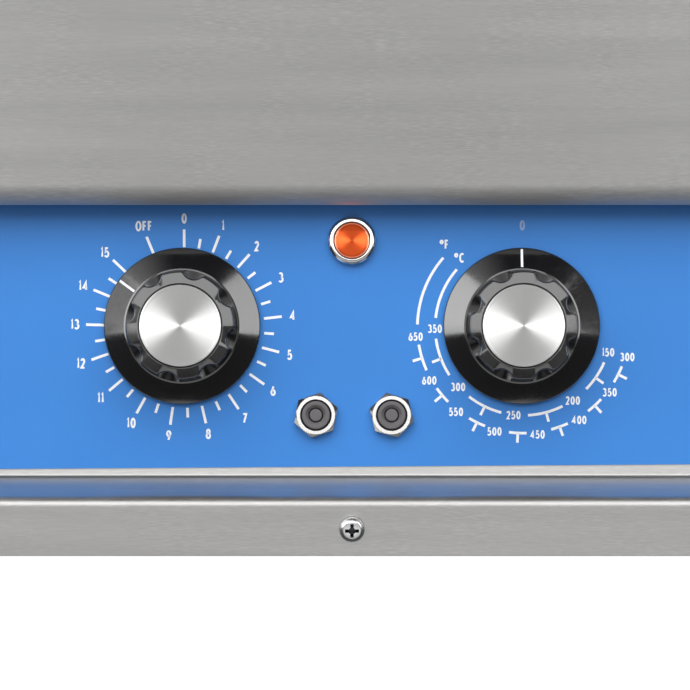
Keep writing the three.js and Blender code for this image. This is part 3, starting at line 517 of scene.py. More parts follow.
def ground_plate():
    """Ground cooking surface with cross scratches and faint heat tint."""
    base = bpy.context.scene.griddle_colours.plate
    finish = Finish("ground_plate", Metallic=1.0, Anisotropic=0.5)
    lines = finish.noise((30, 1500, 1500), 3.0, 0.6)
    scratches = finish.noise((500, 22, 400), 2.0, 0.7)
    stains = finish.noise((9, 9, 9), 4.0, 0.6)
    browned = [c * share for c, share in zip(base, (0.86, 0.74, 0.6))]
    patina = finish.shade(finish.span(stains, 0, 1, 0.42, 0.68), base, browned)
    marks = finish.sum(finish.span(lines, 0, 0.7), finish.span(scratches, 0, 0.3))
    grain = finish.shade(marks, (0.86, 0.86, 0.86), (1, 1, 1))
    finish.set("Base Color", finish.shade(1, patina, grain, "MULTIPLY"))
    finish.set("Roughness", finish.sum(finish.span(lines, 0.26, 0.34), finish.span(stains, 0.0, 0.08)))
    finish.set("Anisotropic Rotation", 0.25)
    finish.bump(lines, 0.01 * MM, 0.5)
    finish.grain((1.0, 0.0, 0.0))
    return finish.material


def zinc_sheet():
    """Spangled zinc coating."""
    finish = Finish("zinc_sheet", Metallic=1.0)
    inputs = {"Vector": finish.mapped((160, 160, 160)), "Scale": 1.0}
    spangle = finish.add("ShaderNodeTexVoronoi", inputs).outputs["Color"]
    value = finish.add("ShaderNodeSeparateColor", {0: spangle}).outputs[0]
    finish.tint((0.55, 0.57, 0.59), value, 0.16)
    finish.set("Roughness", finish.span(value, 0.36, 0.52, 0, 1))
    return finish.material


def plated(name, base=(0.83, 0.84, 0.85), roughness=0.07):
    """Bright plating with faint polishing marks."""
    finish = Finish(name, Metallic=1.0)
    marks = finish.noise((900, 900, 900), 3.0)
    finish.tint(base, marks, 0.03)
    finish.set("Roughness", finish.span(marks, roughness, roughness + 0.05))
    finish.bump(marks, 0.004 * MM, 0.4)
    return finish.material


def screw_plating():
    """Bright zinc, with painted shade down in the cross."""
    finish = Finish("screw_plating", Metallic=1.0)
    recess = finish.add("ShaderNodeAttribute", attribute_name="recess").outputs["Fac"]
    marks = finish.noise((900, 900, 900), 3.0)
    # Painted shade: deep in the cross the colour goes near black.
    depth = finish.span(recess, 0, 1, 0.05, 0.6)
    finish.set("Base Color", finish.shade(depth, (0.86, 0.87, 0.88), (0.05, 0.05, 0.05)))
    finish.set("Roughness", finish.span(marks, 0.24, 0.32))
    return finish.material


def copper_tube():
    finish = Finish("copper_tube", Metallic=1.0)
    tarnish = finish.noise((140, 140, 140), 4.0)
    finish.set("Base Color", finish.shade(finish.span(tarnish, 0, 1), (0.72, 0.36, 0.22), (0.5, 0.22, 0.13)))
    finish.set("Roughness", finish.span(tarnish, 0.25, 0.45))
    return finish.material


def element_sheath():
    finish = Finish("element_sheath", Metallic=0.8)
    scale = finish.noise((260, 260, 260), 5.0, 0.65)
    finish.set("Base Color", finish.shade(finish.span(scale, 0, 1), (0.09, 0.08, 0.075), (0.2, 0.17, 0.15)))
    finish.set("Roughness", finish.span(scale, 0.45, 0.65))
    finish.bump(scale, 0.05 * MM)
    return finish.material


def blue_film():
    """Satin printed film with a faint orange peel and clouding."""
    base = bpy.context.scene.griddle_colours.film
    finish = Finish("blue_film", IOR=1.45)
    clouds = finish.noise((25, 25, 25), 3.0)
    peel = finish.noise((700, 700, 700), 3.0)
    finish.tint(base, finish.sum(finish.span(clouds, 0, 0.7), finish.span(peel, 0, 0.3)), 0.035)
    finish.set("Roughness", finish.span(peel, 0.46, 0.56))
    finish.set("Specular IOR Level", 0.3)
    finish.bump(peel, 0.01 * MM, 0.5)
    return finish.material


def white_ink():
    base = bpy.context.scene.griddle_colours.ink
    finish = Finish("white_ink")
    specks = finish.noise((1600, 1600, 1600), 2.0)
    finish.tint(base, specks, 0.04)
    finish.set("Roughness", finish.span(specks, 0.45, 0.6))
    return finish.material


def worn_ink():
    """Print painted dim, the film showing through it: painted shade for where it sits under the apron."""
    scene = bpy.context.scene.griddle_colours
    finish = Finish("worn_ink")
    dim_mottle = finish.noise((1300, 1300, 1300), 4.0, 0.7)
    through = [0.35 * ink + 0.65 * film for ink, film in zip(scene.ink, scene.film)]
    finish.set("Base Color", finish.shade(finish.span(dim_mottle, 0, 1), [c * 0.8 for c in through], through))
    finish.set("Roughness", finish.span(dim_mottle, 0.45, 0.6))
    return finish.material


def gloss_moulding():
    """Glossy moulding with faint flow marks and fine dust scratches."""
    base = bpy.context.scene.griddle_colours.moulding
    finish = Finish("gloss_moulding", IOR=2.0)
    flow = finish.noise((60, 60, 60), 2.0)
    scratches = finish.noise((900, 300, 1300), 4.0, 0.7)
    finish.tint(base, scratches, 0.4)
    finish.set("Roughness", finish.sum(finish.span(scratches, 0.04, 0.12), finish.span(flow, 0, 0.04)))
    finish.bump(finish.sum(flow, finish.times(scratches, 0.03)), 0.012 * MM, 0.6)
    return finish.material


def spun_cap(name, centre):
    """Aluminium turned on a lathe: circular grain and reflections stretched outwards."""
    finish = Finish(name, Metallic=1.0, Anisotropic=0.95)
    rings = finish.spun(centre, OUT, 0.16 * MM)
    finish.tint((0.62, 0.62, 0.615), rings, 0.03)
    finish.set("Roughness", finish.span(rings, 0.56, 0.62))
    return finish.material


def amber_lens():
    """Translucent lens with fine rings inside, which stretch the light outwards as on the real thing; painted shade
    at its middle, rim and top, and a painted highlight on its lip.
    """
    base = bpy.context.scene.griddle_colours.lens
    low, high = panel_box("pilot_lamp_lens")
    centre = PANEL @ Vector(((low.x + high.x) / 2, (low.y + high.y) / 2, high.z))
    finish = Finish("amber_lens", Metallic=0.85, Anisotropic=0.95, IOR=1.5)
    rings = finish.spun(centre, OUT, 0.3 * MM)
    radius, _ = finish.from_axis(centre, OUT)
    # Painted shade: the colour darkens at the lens's middle, towards its rim and over its top; the sum below also
    # holds the rings' grain.
    middle = finish.span(radius, 0.55, 0, 0.5 * MM, 1.3 * MM)
    rim = finish.span(radius, 0, 1, 4.2 * MM, 5.4 * MM)
    height = finish.vector("DOT_PRODUCT", finish.place, UP, "Value")
    step = centre.dot(UP) + 2.8 * MM
    top = finish.span(height, 0, 0.5, step, step + 0.4 * MM)
    depth = finish.sum(finish.sum(finish.sum(middle, rim), finish.span(rings, 0, 0.15)), top)
    # Painted highlight: a pale band on the lens's outer lip.
    lip = finish.span(radius, 0, 1, 5.15 * MM, 5.3 * MM)
    glass_painted_shade = finish.shade(depth, base, [c * 0.4 for c in base])
    finish.set("Base Color", finish.shade(lip, glass_painted_shade, (0.95, 0.6, 0.4)))
    finish.set("Roughness", finish.span(rings, 0.38, 0.44))
    finish.set("Coat Weight", 0.3)
    finish.set("Coat Roughness", 0.04)
    finish.set("Emission Color", (0.9, 0.1, 0.02, 1))
    finish.set("Emission Strength", 0.28)
    return finish.material


def moulded(name, base, roughness):
    """Matt moulding with a fine spark-eroded texture."""
    finish = Finish(name)
    texture = finish.noise((1900, 1900, 1900), 3.0)
    finish.tint(base, texture, 0.12)
    finish.set("Roughness", finish.span(texture, roughness, roughness + 0.12))
    finish.bump(texture, 0.02 * MM, 0.6)
    return finish.material


def wool():
    """Felted ceramic fibre."""
    finish = Finish("ceramic_wool", Roughness=0.95)
    fibres = finish.noise((300, 900, 300), 6.0, 0.75)
    finish.tint((0.78, 0.76, 0.7), finish.span(fibres, 0, 1), 0.14)
    finish.set("Sheen Weight", 0.3)
    finish.bump(fibres, 0.4 * MM)
    return finish.material


RECIPES = {
    "steel_across": steel_across,
    "steel_back": steel_back,
    "steel_apron": steel_apron,
    "ground_plate": ground_plate,
    "zinc_sheet": zinc_sheet,
    "bright_plating": lambda: plated("bright_plating"),
    "screw_plating": screw_plating,
    "nickel_nut": lambda: plated("nickel_nut", (0.78, 0.77, 0.75), 0.16),
    "copper_tube": copper_tube,
    "element_sheath": element_sheath,
    "blue_film": blue_film,
    "white_ink": white_ink,
    "worn_ink": worn_ink,
    "gloss_moulding": gloss_moulding,
    "timer_cap": lambda: spun_cap("timer_cap", DIALS["timer"]),
    "thermostat_cap": lambda: spun_cap("thermostat_cap", DIALS["thermostat"]),
    "amber_lens": amber_lens,
    "grey_moulding": lambda: moulded("grey_moulding", (0.11, 0.105, 0.11), 0.42),
    "bakelite": lambda: moulded("bakelite", (0.022, 0.02, 0.019), 0.5),
    "porcelain": lambda: moulded("porcelain", (0.74, 0.72, 0.66), 0.3),
    "foot_rubber": lambda: moulded("foot_rubber", (0.018, 0.018, 0.019), 0.65),
    "ceramic_wool": wool,
}


def dress(node, name):
    """Gives a CAD node that stays its finish."""
    slots = frame["nodes"][node].data.materials
    slots.clear()
    slots.append(material(name))


# ---- Lettering: strokes in a unit square, for narrow upright figures ----------------------------------
def bow(x, y, across, high, start, end, steps=18):
    """A stretch of an ellipse, its angles in degrees anticlockwise from the right."""
    angles = [math.radians(start + (end - start) * i / steps) for i in range(steps + 1)]
    return [(x + across * math.cos(a), y + high * math.sin(a)) for a in angles]


FIGURES = {
    "0": (0.5, [bow(0.5, 0.5, 0.5, 0.5, 90, 450, 32)]),
    "1": (0.26, [[(0.1, 0.86), (0.75, 1), (0.75, 0)]]),
    "2": (0.48, [bow(0.46, 0.73, 0.44, 0.27, 165, -38) + [(0.02, 0), (1, 0)]]),
    "3": (0.48, [bow(0.42, 0.77, 0.42, 0.23, 150, -90) + bow(0.42, 0.27, 0.55, 0.27, 90, -150)]),
    "4": (0.54, [[(0.72, 0), (0.72, 1), (0, 0.27), (1, 0.27)]]),
    "5": (0.48, [[(0.88, 1), (0.2, 1), (0.1, 0.56)] + bow(0.42, 0.31, 0.56, 0.31, 118, -150)]),
    "6": (0.5, [[(0.62, 1), (0.08, 0.42)], bow(0.5, 0.29, 0.5, 0.29, 0, 360, 28)]),
    "7": (0.48, [[(0, 1), (1, 1), (0.3, 0)]]),
    "8": (0.5, [bow(0.5, 0.76, 0.4, 0.24, 0, 360, 24), bow(0.5, 0.27, 0.5, 0.27, 0, 360, 28)]),
    "9": (0.5, [[(0.38, 0), (0.92, 0.58)], bow(0.5, 0.71, 0.5, 0.29, 0, 360, 28)]),
    "O": (0.58, [bow(0.5, 0.5, 0.5, 0.5, 90, 450, 36)]),
    "F": (0.42, [[(0, 0), (0, 1), (1, 1)], [(0, 0.53), (0.86, 0.53)]]),
    "C": (0.54, [bow(0.55, 0.5, 0.55, 0.5, 48, 312, 28)]),
    "°": (0.42, [bow(0.5, 0.82, 0.5, 0.18, 0, 360, 20)]),
}
STROKE = 0.18  # of the height
LETTER_GAP = 0.09


def ribbon(bm, points, width, low, high):
    """A flat printed line of even width along points, closed if they end where they start."""
    points = [Vector(p) for p in points]
    closed = (points[0] - points[-1]).length < 1e-9
    points = points[:-1] if closed else points
    count, edges = len(points), []
    for i, here in enumerate(points):
        ahead = (points[(i + 1) % count] - here) if closed or i < count - 1 else None
        back = (here - points[i - 1]) if closed or i else None
        first, second = [v.normalized() for v in (back or ahead, ahead or back)]
        normal = Vector((-first.y - second.y, first.x + second.x)).normalized()
        reach = width / 2 / max(0.5, normal.dot(Vector((-first.y, first.x))))
        edges.append((here + normal * reach, here - normal * reach))
    rows = [[bm.verts.new((*side, z)) for z in (low, high) for side in pair] for pair in edges]
    last = count if closed else count - 1
    for i in range(last):
        a, b = rows[i], rows[(i + 1) % count]
        for j, k in ((0, 1), (1, 3), (3, 2), (2, 0)):
            bm.faces.new((a[j], a[k], b[k], b[j]))
    if not closed:
        for row in (rows[0], rows[-1]):
            bm.faces.new((row[0], row[1], row[3], row[2]))


def write(bm, text, x, y, height, low, high):
    """Figures centred on a point of the panel."""
    pen = height * STROKE
    gap = height * LETTER_GAP
    widths = [FIGURES[c][0] * height for c in text]
    left = x - (sum(widths) + gap * (len(text) - 1)) / 2
    for character, width in zip(text, widths):
        for stroke in FIGURES[character][1]:
            line = [
                (left + pen / 2 + u * (width - pen), y - height / 2 + pen / 2 + v * (height - pen))
                for u, v in stroke
            ]
            ribbon(bm, line, pen, low, high)
        left += width + gap


def around(angle, radius):
    """A point around a dial, its angle in degrees clockwise from the top."""
    return Vector((radius * math.sin(math.radians(angle)), radius * math.cos(math.radians(angle))))


def scale_arc(bm, centre, radius, start, end, width, low, high):
    steps = max(2, round(abs(end - start) / 3))
    points = [centre + around(start + (end - start) * i / steps, radius) for i in range(steps + 1)]
    ribbon(bm, points, width, low, high)


def scale_tick(bm, centre, angle, inner, outer, width, low, high):
    ribbon(bm, [centre + around(angle, inner), centre + around(angle, outer)], width, low, high)


# ---- Repeating things, made by Geometry Nodes -----------------------------------------------------------
def node_tree(name, inputs):
    """An empty modifier tree with named inputs, its geometry output and its input node."""
    tree = bpy.data.node_groups.new(name, "GeometryNodeTree")
    tree.interface.new_socket("Geometry", in_out="INPUT", socket_type="NodeSocketGeometry")
    for label, kind in inputs:
        tree.interface.new_socket(label, in_out="INPUT", socket_type="NodeSocket" + kind)
    tree.interface.new_socket("Geometry", in_out="OUTPUT", socket_type="NodeSocketGeometry")
    return tree, tree.nodes.new("NodeGroupInput"), tree.nodes.new("NodeGroupOutput")


def close_tree(tree, geometry, ink, output):
    """Every tree ends in real geometry with its material."""
    real = add_node(tree, "GeometryNodeRealizeInstances", {0: geometry})
    painted = add_node(tree, "GeometryNodeSetMaterial", {"Geometry": real.outputs[0], "Material": ink})
    tree.links.new(painted.outputs[0], output.inputs[0])


def run_tree(made, tree, values):
    """Runs a tree on a piece with its inputs set, and keeps the result as a plain mesh."""
    modifier = made.modifiers.new(tree.name, "NODES")
    modifier.node_group = tree
    for item in tree.interface.items_tree:
        if item.in_out == "INPUT" and item.name in values:
            modifier[item.identifier] = values[item.name]
    return apply_modifiers(made)


def empty_piece(name):
    return mesh_object(name, bmesh.new())


def tick_ring_tree():
    """Equal marks around a dial: clockwise from a first angle, each between two radii."""
    sizes = ("First Angle", "Step", "Inner", "Outer", "Width", "Thickness")
    inputs = [("Count", "Int"), *((name, "Float") for name in sizes), ("Ink", "Material")]
    tree, given, output = node_tree("Tick Ring", inputs)
    value, maths = given.outputs, partial(math_node, tree)
    line = add_node(tree, "GeometryNodeMeshLine", {"Count": value["Count"], "Offset": (0, 0, 0)})
    long = maths("SUBTRACT", value["Outer"], value["Inner"])
    size = add_node(tree, "ShaderNodeCombineXYZ", {0: value["Width"], 1: long, 2: value["Thickness"]})
    mark = add_node(tree, "GeometryNodeMeshCube", {"Size": size.outputs[0]})
    middle = maths("MULTIPLY", maths("ADD", value["Inner"], value["Outer"]), 0.5)
    shift = add_node(tree, "ShaderNodeCombineXYZ", {1: middle})
    moved = add_node(tree, "GeometryNodeTransform", {"Geometry": mark.outputs[0], "Translation": shift.outputs[0]})
    index = add_node(tree, "GeometryNodeInputIndex")
    turn = maths("ADD", value["First Angle"], maths("MULTIPLY", index.outputs[0], value["Step"]))
    angle = add_node(tree, "ShaderNodeCombineXYZ", {2: maths("MULTIPLY", turn, -1.0)})
    rotation = add_node(tree, "FunctionNodeEulerToRotation", {0: angle.outputs[0]})
    inputs = {"Points": line.outputs[0], "Instance": moved.outputs[0], "Rotation": rotation.outputs[0]}
    ring = add_node(tree, "GeometryNodeInstanceOnPoints", inputs)
    close_tree(tree, ring.outputs[0], value["Ink"], output)
    return tree


def copies_tree():
    """Copies of one object on the points of a mesh, each turned a step further about the given axis."""
    inputs = [("Piece", "Object"), ("Axis", "Vector"), ("Turn", "Float"), ("Finish", "Material")]
    tree, given, output = node_tree("Copies", inputs)
    value, maths = given.outputs, partial(math_node, tree)
    piece = add_node(tree, "GeometryNodeObjectInfo", {"Object": value["Piece"]}).outputs["Geometry"]
    index = add_node(tree, "GeometryNodeInputIndex").outputs[0]
    spin = maths("MULTIPLY", maths("SUBTRACT", index, 1.0), value["Turn"])
    turned_by = {"Axis": value["Axis"], "Angle": spin}
    rotation = add_node(tree, "FunctionNodeAxisAngleToRotation", turned_by).outputs[0]
    inputs = {"Points": value["Geometry"], "Instance": piece, "Rotation": rotation}
    placed = add_node(tree, "GeometryNodeInstanceOnPoints", inputs)
    close_tree(tree, placed.outputs[0], value["Finish"], output)
    return tree


def scatter(name, piece, spots, axis, finish):
    """Copies of a piece at the given spots, in one mesh."""
    bm = bmesh.new()
    for spot in spots:
        bm.verts.new(spot)
    made = mesh_object(name, bm)
    tree = bpy.data.node_groups.get("Copies") or copies_tree()
    run_tree(made, tree, {"Piece": piece, "Axis": axis, "Turn": 0.5, "Finish": material(finish)})
    bpy.data.objects.remove(piece)
    return made


def vents_tree():
    """A sheet with rows and columns of the given slot cut through it."""
    inputs = [("Slot", "Object"), ("Columns", "Int"), ("Rows", "Int"), ("Wide", "Float"), ("High", "Float"),
              ("Centre", "Vector"), ("Finish", "Material")]
    tree, given, output = node_tree("Vents", inputs)
    value = given.outputs
    names = {"Size X": "Wide", "Size Y": "High", "Vertices X": "Columns", "Vertices Y": "Rows"}
    grid = add_node(tree, "GeometryNodeMeshGrid", {socket: value[name] for socket, name in names.items()})
    quarter = add_node(tree, "GeometryNodeTransform", {"Geometry": grid.outputs[0], "Translation": value["Centre"]})
    upright = add_node(tree, "FunctionNodeEulerToRotation", {0: (math.pi / 2, 0, 0)})
    tree.links.new(upright.outputs[0], quarter.inputs["Rotation"])
    slot = add_node(tree, "GeometryNodeObjectInfo", {"Object": value["Slot"]})
    inputs = {"Points": quarter.outputs[0], "Instance": slot.outputs["Geometry"]}
    slots = add_node(tree, "GeometryNodeInstanceOnPoints", inputs)
    real = add_node(tree, "GeometryNodeRealizeInstances", {0: slots.outputs[0]})
    cut = add_node(tree, "GeometryNodeMeshBoolean", operation="DIFFERENCE", solver="EXACT")
    tree.links.new(value["Geometry"], cut.inputs["Mesh 1"])
    tree.links.new(real.outputs[0], cut.inputs["Mesh 2"])
    close_tree(tree, cut.outputs[0], value["Finish"], output)
    return tree


# ---- Shapes that several pieces use ------------------------------------------------------------------
def screw_head(radius, high, shank):
    """A pan head screw about z, its seat at 0, with a cross recess."""
    profile = [(0, -shank), (radius / 2, -shank), (radius / 2, 0), (radius, 0, 0.1 * MM),
               (radius, high * 0.86, high * 0.66), (radius * 0.3, high), (0, high)]
    made = mesh_object("screw", turned(profile, 40))
    arm, slot, deep = radius * 0.58, radius * 0.135, high * 0.75
    cutters = []
    for turn in (0, math.pi / 2):
        top = [(-arm, -slot), (arm, -slot), (arm, slot), (-arm, slot)]
        toe = [(x * 0.62, y * 0.9) for x, y in top]
        rings = [[(x, y, high - deep) for x, y in toe], [(x, y, high + 0.1 * MM) for x, y in top]]
        cutters.append(moved(loft(rings), Matrix.Rotation(turn, 4, "Z")))
    hub = [(0, high - deep * 1.15), (slot * 1.5, high - deep), (slot * 2.1, high + 0.1 * MM), (0, high + 0.1 * MM)]
    cutters.append(turned(hub, 20))
    carve(made, cutters)
    soften(made, 0.05 * MM, 1)
    # Marks the vertices deep in the cross, where the finish paints shade.
    shade = made.data.attributes.new("recess", "FLOAT", "POINT")
    for mark, vertex in zip(shade.data, made.data.vertices):
        in_painted_shade = 0 < vertex.co.z < high - deep * 0.8 and vertex.co.xy.length < arm
        mark.value = float(in_painted_shade)
    return made


def facing(direction):
    """Turns what was made about z so that it points in a direction."""
    return Vector(direction).to_track_quat("Z", "Y").to_matrix().to_4x4()


def tube_along(points, bend, radius, name, resolution=6):
    """A round bar along points, its corners rounded to the bend radius."""
    path = [Vector(p) for p in points]
    line = [path[0]]
    for before, corner, after in zip(path, path[1:], path[2:]):
        back, ahead = (before - corner).normalized(), (after - corner).normalized()
        half = back.angle(ahead) / 2
        reach = bend / math.tan(half)
        centre = corner + (back + ahead).normalized() * bend / math.sin(half)
        start = corner + back * reach - centre
        end = corner + ahead * reach - centre
        for i in range(9):
            spoke = start.lerp(end, i / 8)
            line.append(centre + spoke.normalized() * bend)
    line.append(path[-1])
    curve = bpy.data.curves.new(name, "CURVE")
    curve.dimensions = "3D"
    curve.bevel_depth = radius
    curve.bevel_resolution = resolution
    curve.use_fill_caps = True
    spline = curve.splines.new("POLY")
    spline.points.add(len(line) - 1)
    for point, at in zip(spline.points, line):
        point.co = (*at, 1)
    holder = bpy.data.objects.new(name + "_path", curve)
    bpy.context.scene.collection.objects.link(holder)
    mesh = bpy.data.meshes.new_from_object(holder.evaluated_get(bpy.context.evaluated_depsgraph_get()))
    bpy.data.objects.remove(holder)
    bm = bmesh.new()
    bm.from_mesh(mesh)
    bmesh.ops.remove_doubles(bm, verts=bm.verts, dist=1e-6)
    return mesh_object(name, bm)


class Build:
    """What every operator here shares."""

    bl_options = {"REGISTER"}

    def execute(self, context):
        self.build()
        return {"FINISHED"}


class GRIDDLE_OT_console(Build, bpy.types.Operator):
    """Fold the console's flange, ledge and leaning panel from one sheet, with its control holes"""

    bl_idname = "griddle.console"
    bl_label = "Console"

    def build(self):
        sheet, _ = settings()
        ledge = FLANGE.z + sheet.flange
        corner = MIDDLE + UP * (ledge - MIDDLE.z) / UP.z
        top = MIDDLE + UP * (CONSOLE_HIGH.z - MIDDLE.z) / UP.z
        face = [
            (CONSOLE_HIGH.y, CONSOLE_HIGH.z),
            (top.y, CONSOLE_HIGH.z, sheet.fold),
            (corner.y, ledge, sheet.inner_fold),
            (FLANGE.y, ledge, sheet.fold),
            (FLANGE.y, FLANGE.z),
        ]
        bm = folded(face, sheet.gauge, FLANGE.x, CONSOLE_HIGH.x, section_yz)
        made = mesh_object("console_sheet", bm)
        holes = []
        for node, radius in (("timer_shaft", 5.3), ("thermostat_shaft", 5.3), ("pilot_lamp_lens", 6.2),
                             ("breaker_left_button", 5), ("breaker_right_button", 5)):
            hole = turned([(0, -6 * MM), (radius * MM, -6 * MM), (radius * MM, 6 * MM), (0, 6 * MM)], 32)
            holes.append(moved(hole, panel_spot(node)))
        carve(made, holes)
        soften(made, sheet.edge)
        finish_piece(made, "steel_across", "frame", "brushed_sheet", "console_front")


class GRIDDLE_OT_apron(Build, bpy.types.Operator):
    """Fold the apron with its rounded rim and nose, and cut the drawer's opening"""

    bl_idname = "griddle.apron"
    bl_label = "Apron"

    def build(self):
        sheet, _ = settings()
        face = [
            (APRON_LOW.y + 12 * MM, APRON_HIGH.z),
            (APRON_LOW.y, APRON_HIGH.z, sheet.rim_round),
            (APRON_LOW.y, APRON_LOW.z, sheet.apron_round),
            (APRON_HIGH.y, APRON_LOW.z),
        ]
        made = mesh_object("apron_sheet", folded(face, sheet.gauge, APRON_LOW.x, APRON_HIGH.x, section_yz))
        low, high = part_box("grease_drawer")
        margin = Vector((2 * MM, 0, 2 * MM))
        nose = Vector((0, 4 * MM, 0))
        low, high = low - margin - nose, Vector((high.x, low.y, high.z)) + margin + nose
        carve(made, [box_solid(low, high)])
        soften(made, sheet.edge)
        finish_piece(made, "steel_apron", "frame", "brushed_sheet", "front_apron")


class GRIDDLE_OT_sides(Build, bpy.types.Operator):
    """Cut the two side panels to the outline of the folded front"""

    bl_idname = "griddle.sides"
    bl_label = "Side Panels"

    def build(self):
        sheet, _ = settings()
        ledge = FLANGE.z + sheet.flange
        corner = MIDDLE + UP * (ledge - MIDDLE.z) / UP.z
        under = MIDDLE + UP * (APRON_LOW.z - MIDDLE.z) / UP.z
        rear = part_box("rear_panel")[1].y
        edge = outline([
            (FLANGE.y, FLANGE.z),
            (FLANGE.y, ledge, sheet.fold),
            (corner.y, ledge, sheet.fold),
            (under.y, APRON_LOW.z),
            (APRON_LOW.y, APRON_LOW.z, sheet.apron_round),
            (APRON_LOW.y, APRON_HIGH.z, sheet.rim_round),
            (rear, APRON_HIGH.z, sheet.rim_round),
            (rear, FLANGE.z),
        ])
        for side in SIDES:
            low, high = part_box("side_panel_" + side)
            made = mesh_object(f"side_{side}", prism(edge, low.x, high.x, section_yz))
            soften(made, sheet.edge)
            finish_piece(made, "steel_back", "frame", "brushed_sheet", "side_panel_" + side)


class GRIDDLE_OT_rear(Build, bpy.types.Operator):
    """Cut the vented rear panel, and make its gland and fixing screws"""

    bl_idname = "griddle.rear"
    bl_label = "Rear Panel"

    columns: IntProperty(name="Columns", description="Vent slots side by side", default=4)
    rows: IntProperty(name="Rows", description="Vent slots one above another", default=6)
    pitch_across: length("Pitch Across", "Between the middles of slots side by side", 90 * MM)
    pitch_up: length("Pitch Up", "Between the middles of slots one above another", 14 * MM)
    slot_long: length("Slot Length", "Length of a vent slot", 60 * MM)
    slot_high: length("Slot Height", "Height of a vent slot", 5 * MM)

    def build(self):
        sheet, _ = settings()
        low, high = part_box("rear_panel")
        gland_low, gland_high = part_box("cable_gland")
        gland = (gland_low + gland_high) / 2
        panel = mesh_object("rear_sheet", box_solid(low, high))
        entry = turned([(0, -10 * MM), (9.3 * MM, -10 * MM), (9.3 * MM, 10 * MM), (0, 10 * MM)], 32)
        carve(panel, [moved(entry, Matrix.Translation((gland.x, high.y, gland.z)) @ facing((0, 1, 0)))])
        half, tall = self.slot_long / 2, self.slot_high / 2
        shape = outline([(-half, -tall, tall * 0.999), (half, -tall, tall * 0.999), (half, tall, tall * 0.999),
                         (-half, tall, tall * 0.999)])
        slot = mesh_object("slot", prism(shape, -4 * MM, 4 * MM, section_xz))
        run_tree(panel, vents_tree(), {
            "Slot": slot,
            "Columns": self.columns,
            "Rows": self.rows,
            "Wide": (self.columns - 1) * self.pitch_across,
            "High": (self.rows - 1) * self.pitch_up,
            "Centre": (0, high.y, (low.z + high.z) / 2),
            "Finish": material("steel_across"),
        })
        bpy.data.objects.remove(slot)
        soften(panel, sheet.edge)
        finish_piece(panel, "steel_across", "frame", "brushed_sheet", "rear_panel")
        self.build_screws(low, high)
        self.build_gland(gland, high.y, gland_high.y)

    def build_screws(self, low, high):
        head = screw_head(3.4 * MM, 2 * MM, 1 * MM)
        head.data.transform(facing((0, 1, 0)))
        inset = 9 * MM
        spots = [
            (x, high.y, z)
            for z in (low.z + inset, high.z - inset)
            for x in (low.x + 2 * inset, 0, high.x - 2 * inset)
        ]
        made = scatter("rear_screws", head, spots, (0, 1, 0), "screw_plating")
        finish_piece(made, "screw_plating", "frame", "chrome")

    def build_gland(self, centre, rear, reach):
        out = reach - rear
        body = [(5 * MM, -11 * MM), (9 * MM, -11 * MM), (9 * MM, 0.3 * MM), (12.6 * MM, 0.3 * MM, 0.4 * MM),
                (12.6 * MM, 5 * MM, 0.8 * MM), (10.4 * MM, 5.6 * MM, 0.3 * MM), (10.4 * MM, 9 * MM, 1 * MM),
                (8.4 * MM, out, 1 * MM), (5 * MM, out, 0.8 * MM)]
        bm = turned(body, 48)
        ribs = 20
        rib = [(9.8, -0.4), (10.9, -0.25), (10.9, 0.25), (9.8, 0.4)]
        for i in range(ribs):
            bar = prism([(x * MM, y * MM) for x, y in rib], 5.4 * MM, 8.6 * MM)
            absorb(bm, moved(bar, Matrix.Rotation(TAU * i / ribs, 4, "Z")))
        place = Matrix.Translation((centre.x, rear, centre.z)) @ facing((0, 1, 0))
        made = mesh_object("gland", bm, place)
        finish_piece(made, "bakelite", "frame", "bakelite", "cable_gland")


class GRIDDLE_OT_cooking_top(Build, bpy.types.Operator):
    """Make the cooking plate and the splash guard around it, and finish the grease trough in front of it"""

    bl_idname = "griddle.cooking_top"
    bl_label = "Cooking Top"

    def build(self):
        sheet, _ = settings()
        self.build_guard(sheet)
        self.build_plate(sheet)
        dress("grease_trough", "steel_across")
        dress("grease_chute", "steel_across")

    def build_guard(self, sheet):
        low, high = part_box("splash_guard")
        plan = [
            (high.x, low.y),
            (high.x, high.y, sheet.guard_round),
            (low.x, high.y, sheet.guard_round),
            (low.x, low.y),
        ]
        made = mesh_object("guard_sheet", folded(plan, sheet.gauge, low.z, high.z, section_xy))
        rim = APRON_HIGH.z
        ramp = [(low.y - 1 * MM, rim + 4 * MM), (low.y + 80 * MM, high.z, 24 * MM), (low.y + 110 * MM, high.z),
                (low.y + 110 * MM, high.z + 1 * MM), (low.y - 1 * MM, high.z + 1 * MM)]
        carve(made, [prism(outline(ramp), low.x - 1 * MM, high.x + 1 * MM, section_yz)])
        soften(made, 0.45 * MM, 3)
        finish_piece(made, "steel_back", "frame", "brushed_sheet", "splash_guard")

    def build_plate(self, sheet):
        low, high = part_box("griddle_plate")
        thick = 12 * MM
        front = 4 * MM
        plan = outline([(low.x, low.y, front), (high.x, low.y, front), (high.x, high.y, sheet.guard_round),
                        (low.x, high.y, sheet.guard_round)])
        made = mesh_object("cooking_plate", prism(plan, high.z - thick, high.z))
        soften(made, 1 * MM, 4)
        bm = bmesh.new()
        bm.from_mesh(made.data)
        bpy.data.objects.remove(made)
        bars = [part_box("element_clamp_" + end) for end in ("front", "rear")]
        for x in (-1, 1):
            for bar_low, bar_high in bars:
                stud = turned([(0, low.z), (2.4 * MM, low.z, 0.3 * MM), (3 * MM, low.z + 1 * MM),
                               (3 * MM, high.z - thick / 2), (0, high.z - thick / 2)], 24)
                at = (x * STUD_ACROSS, (bar_low.y + bar_high.y) / 2, 0)
                absorb(bm, moved(stud, Matrix.Translation(at)))
        made = mesh_object("cooking_plate", bm)
        finish_piece(made, "ground_plate", "frame", "plate_steel", "griddle_plate")


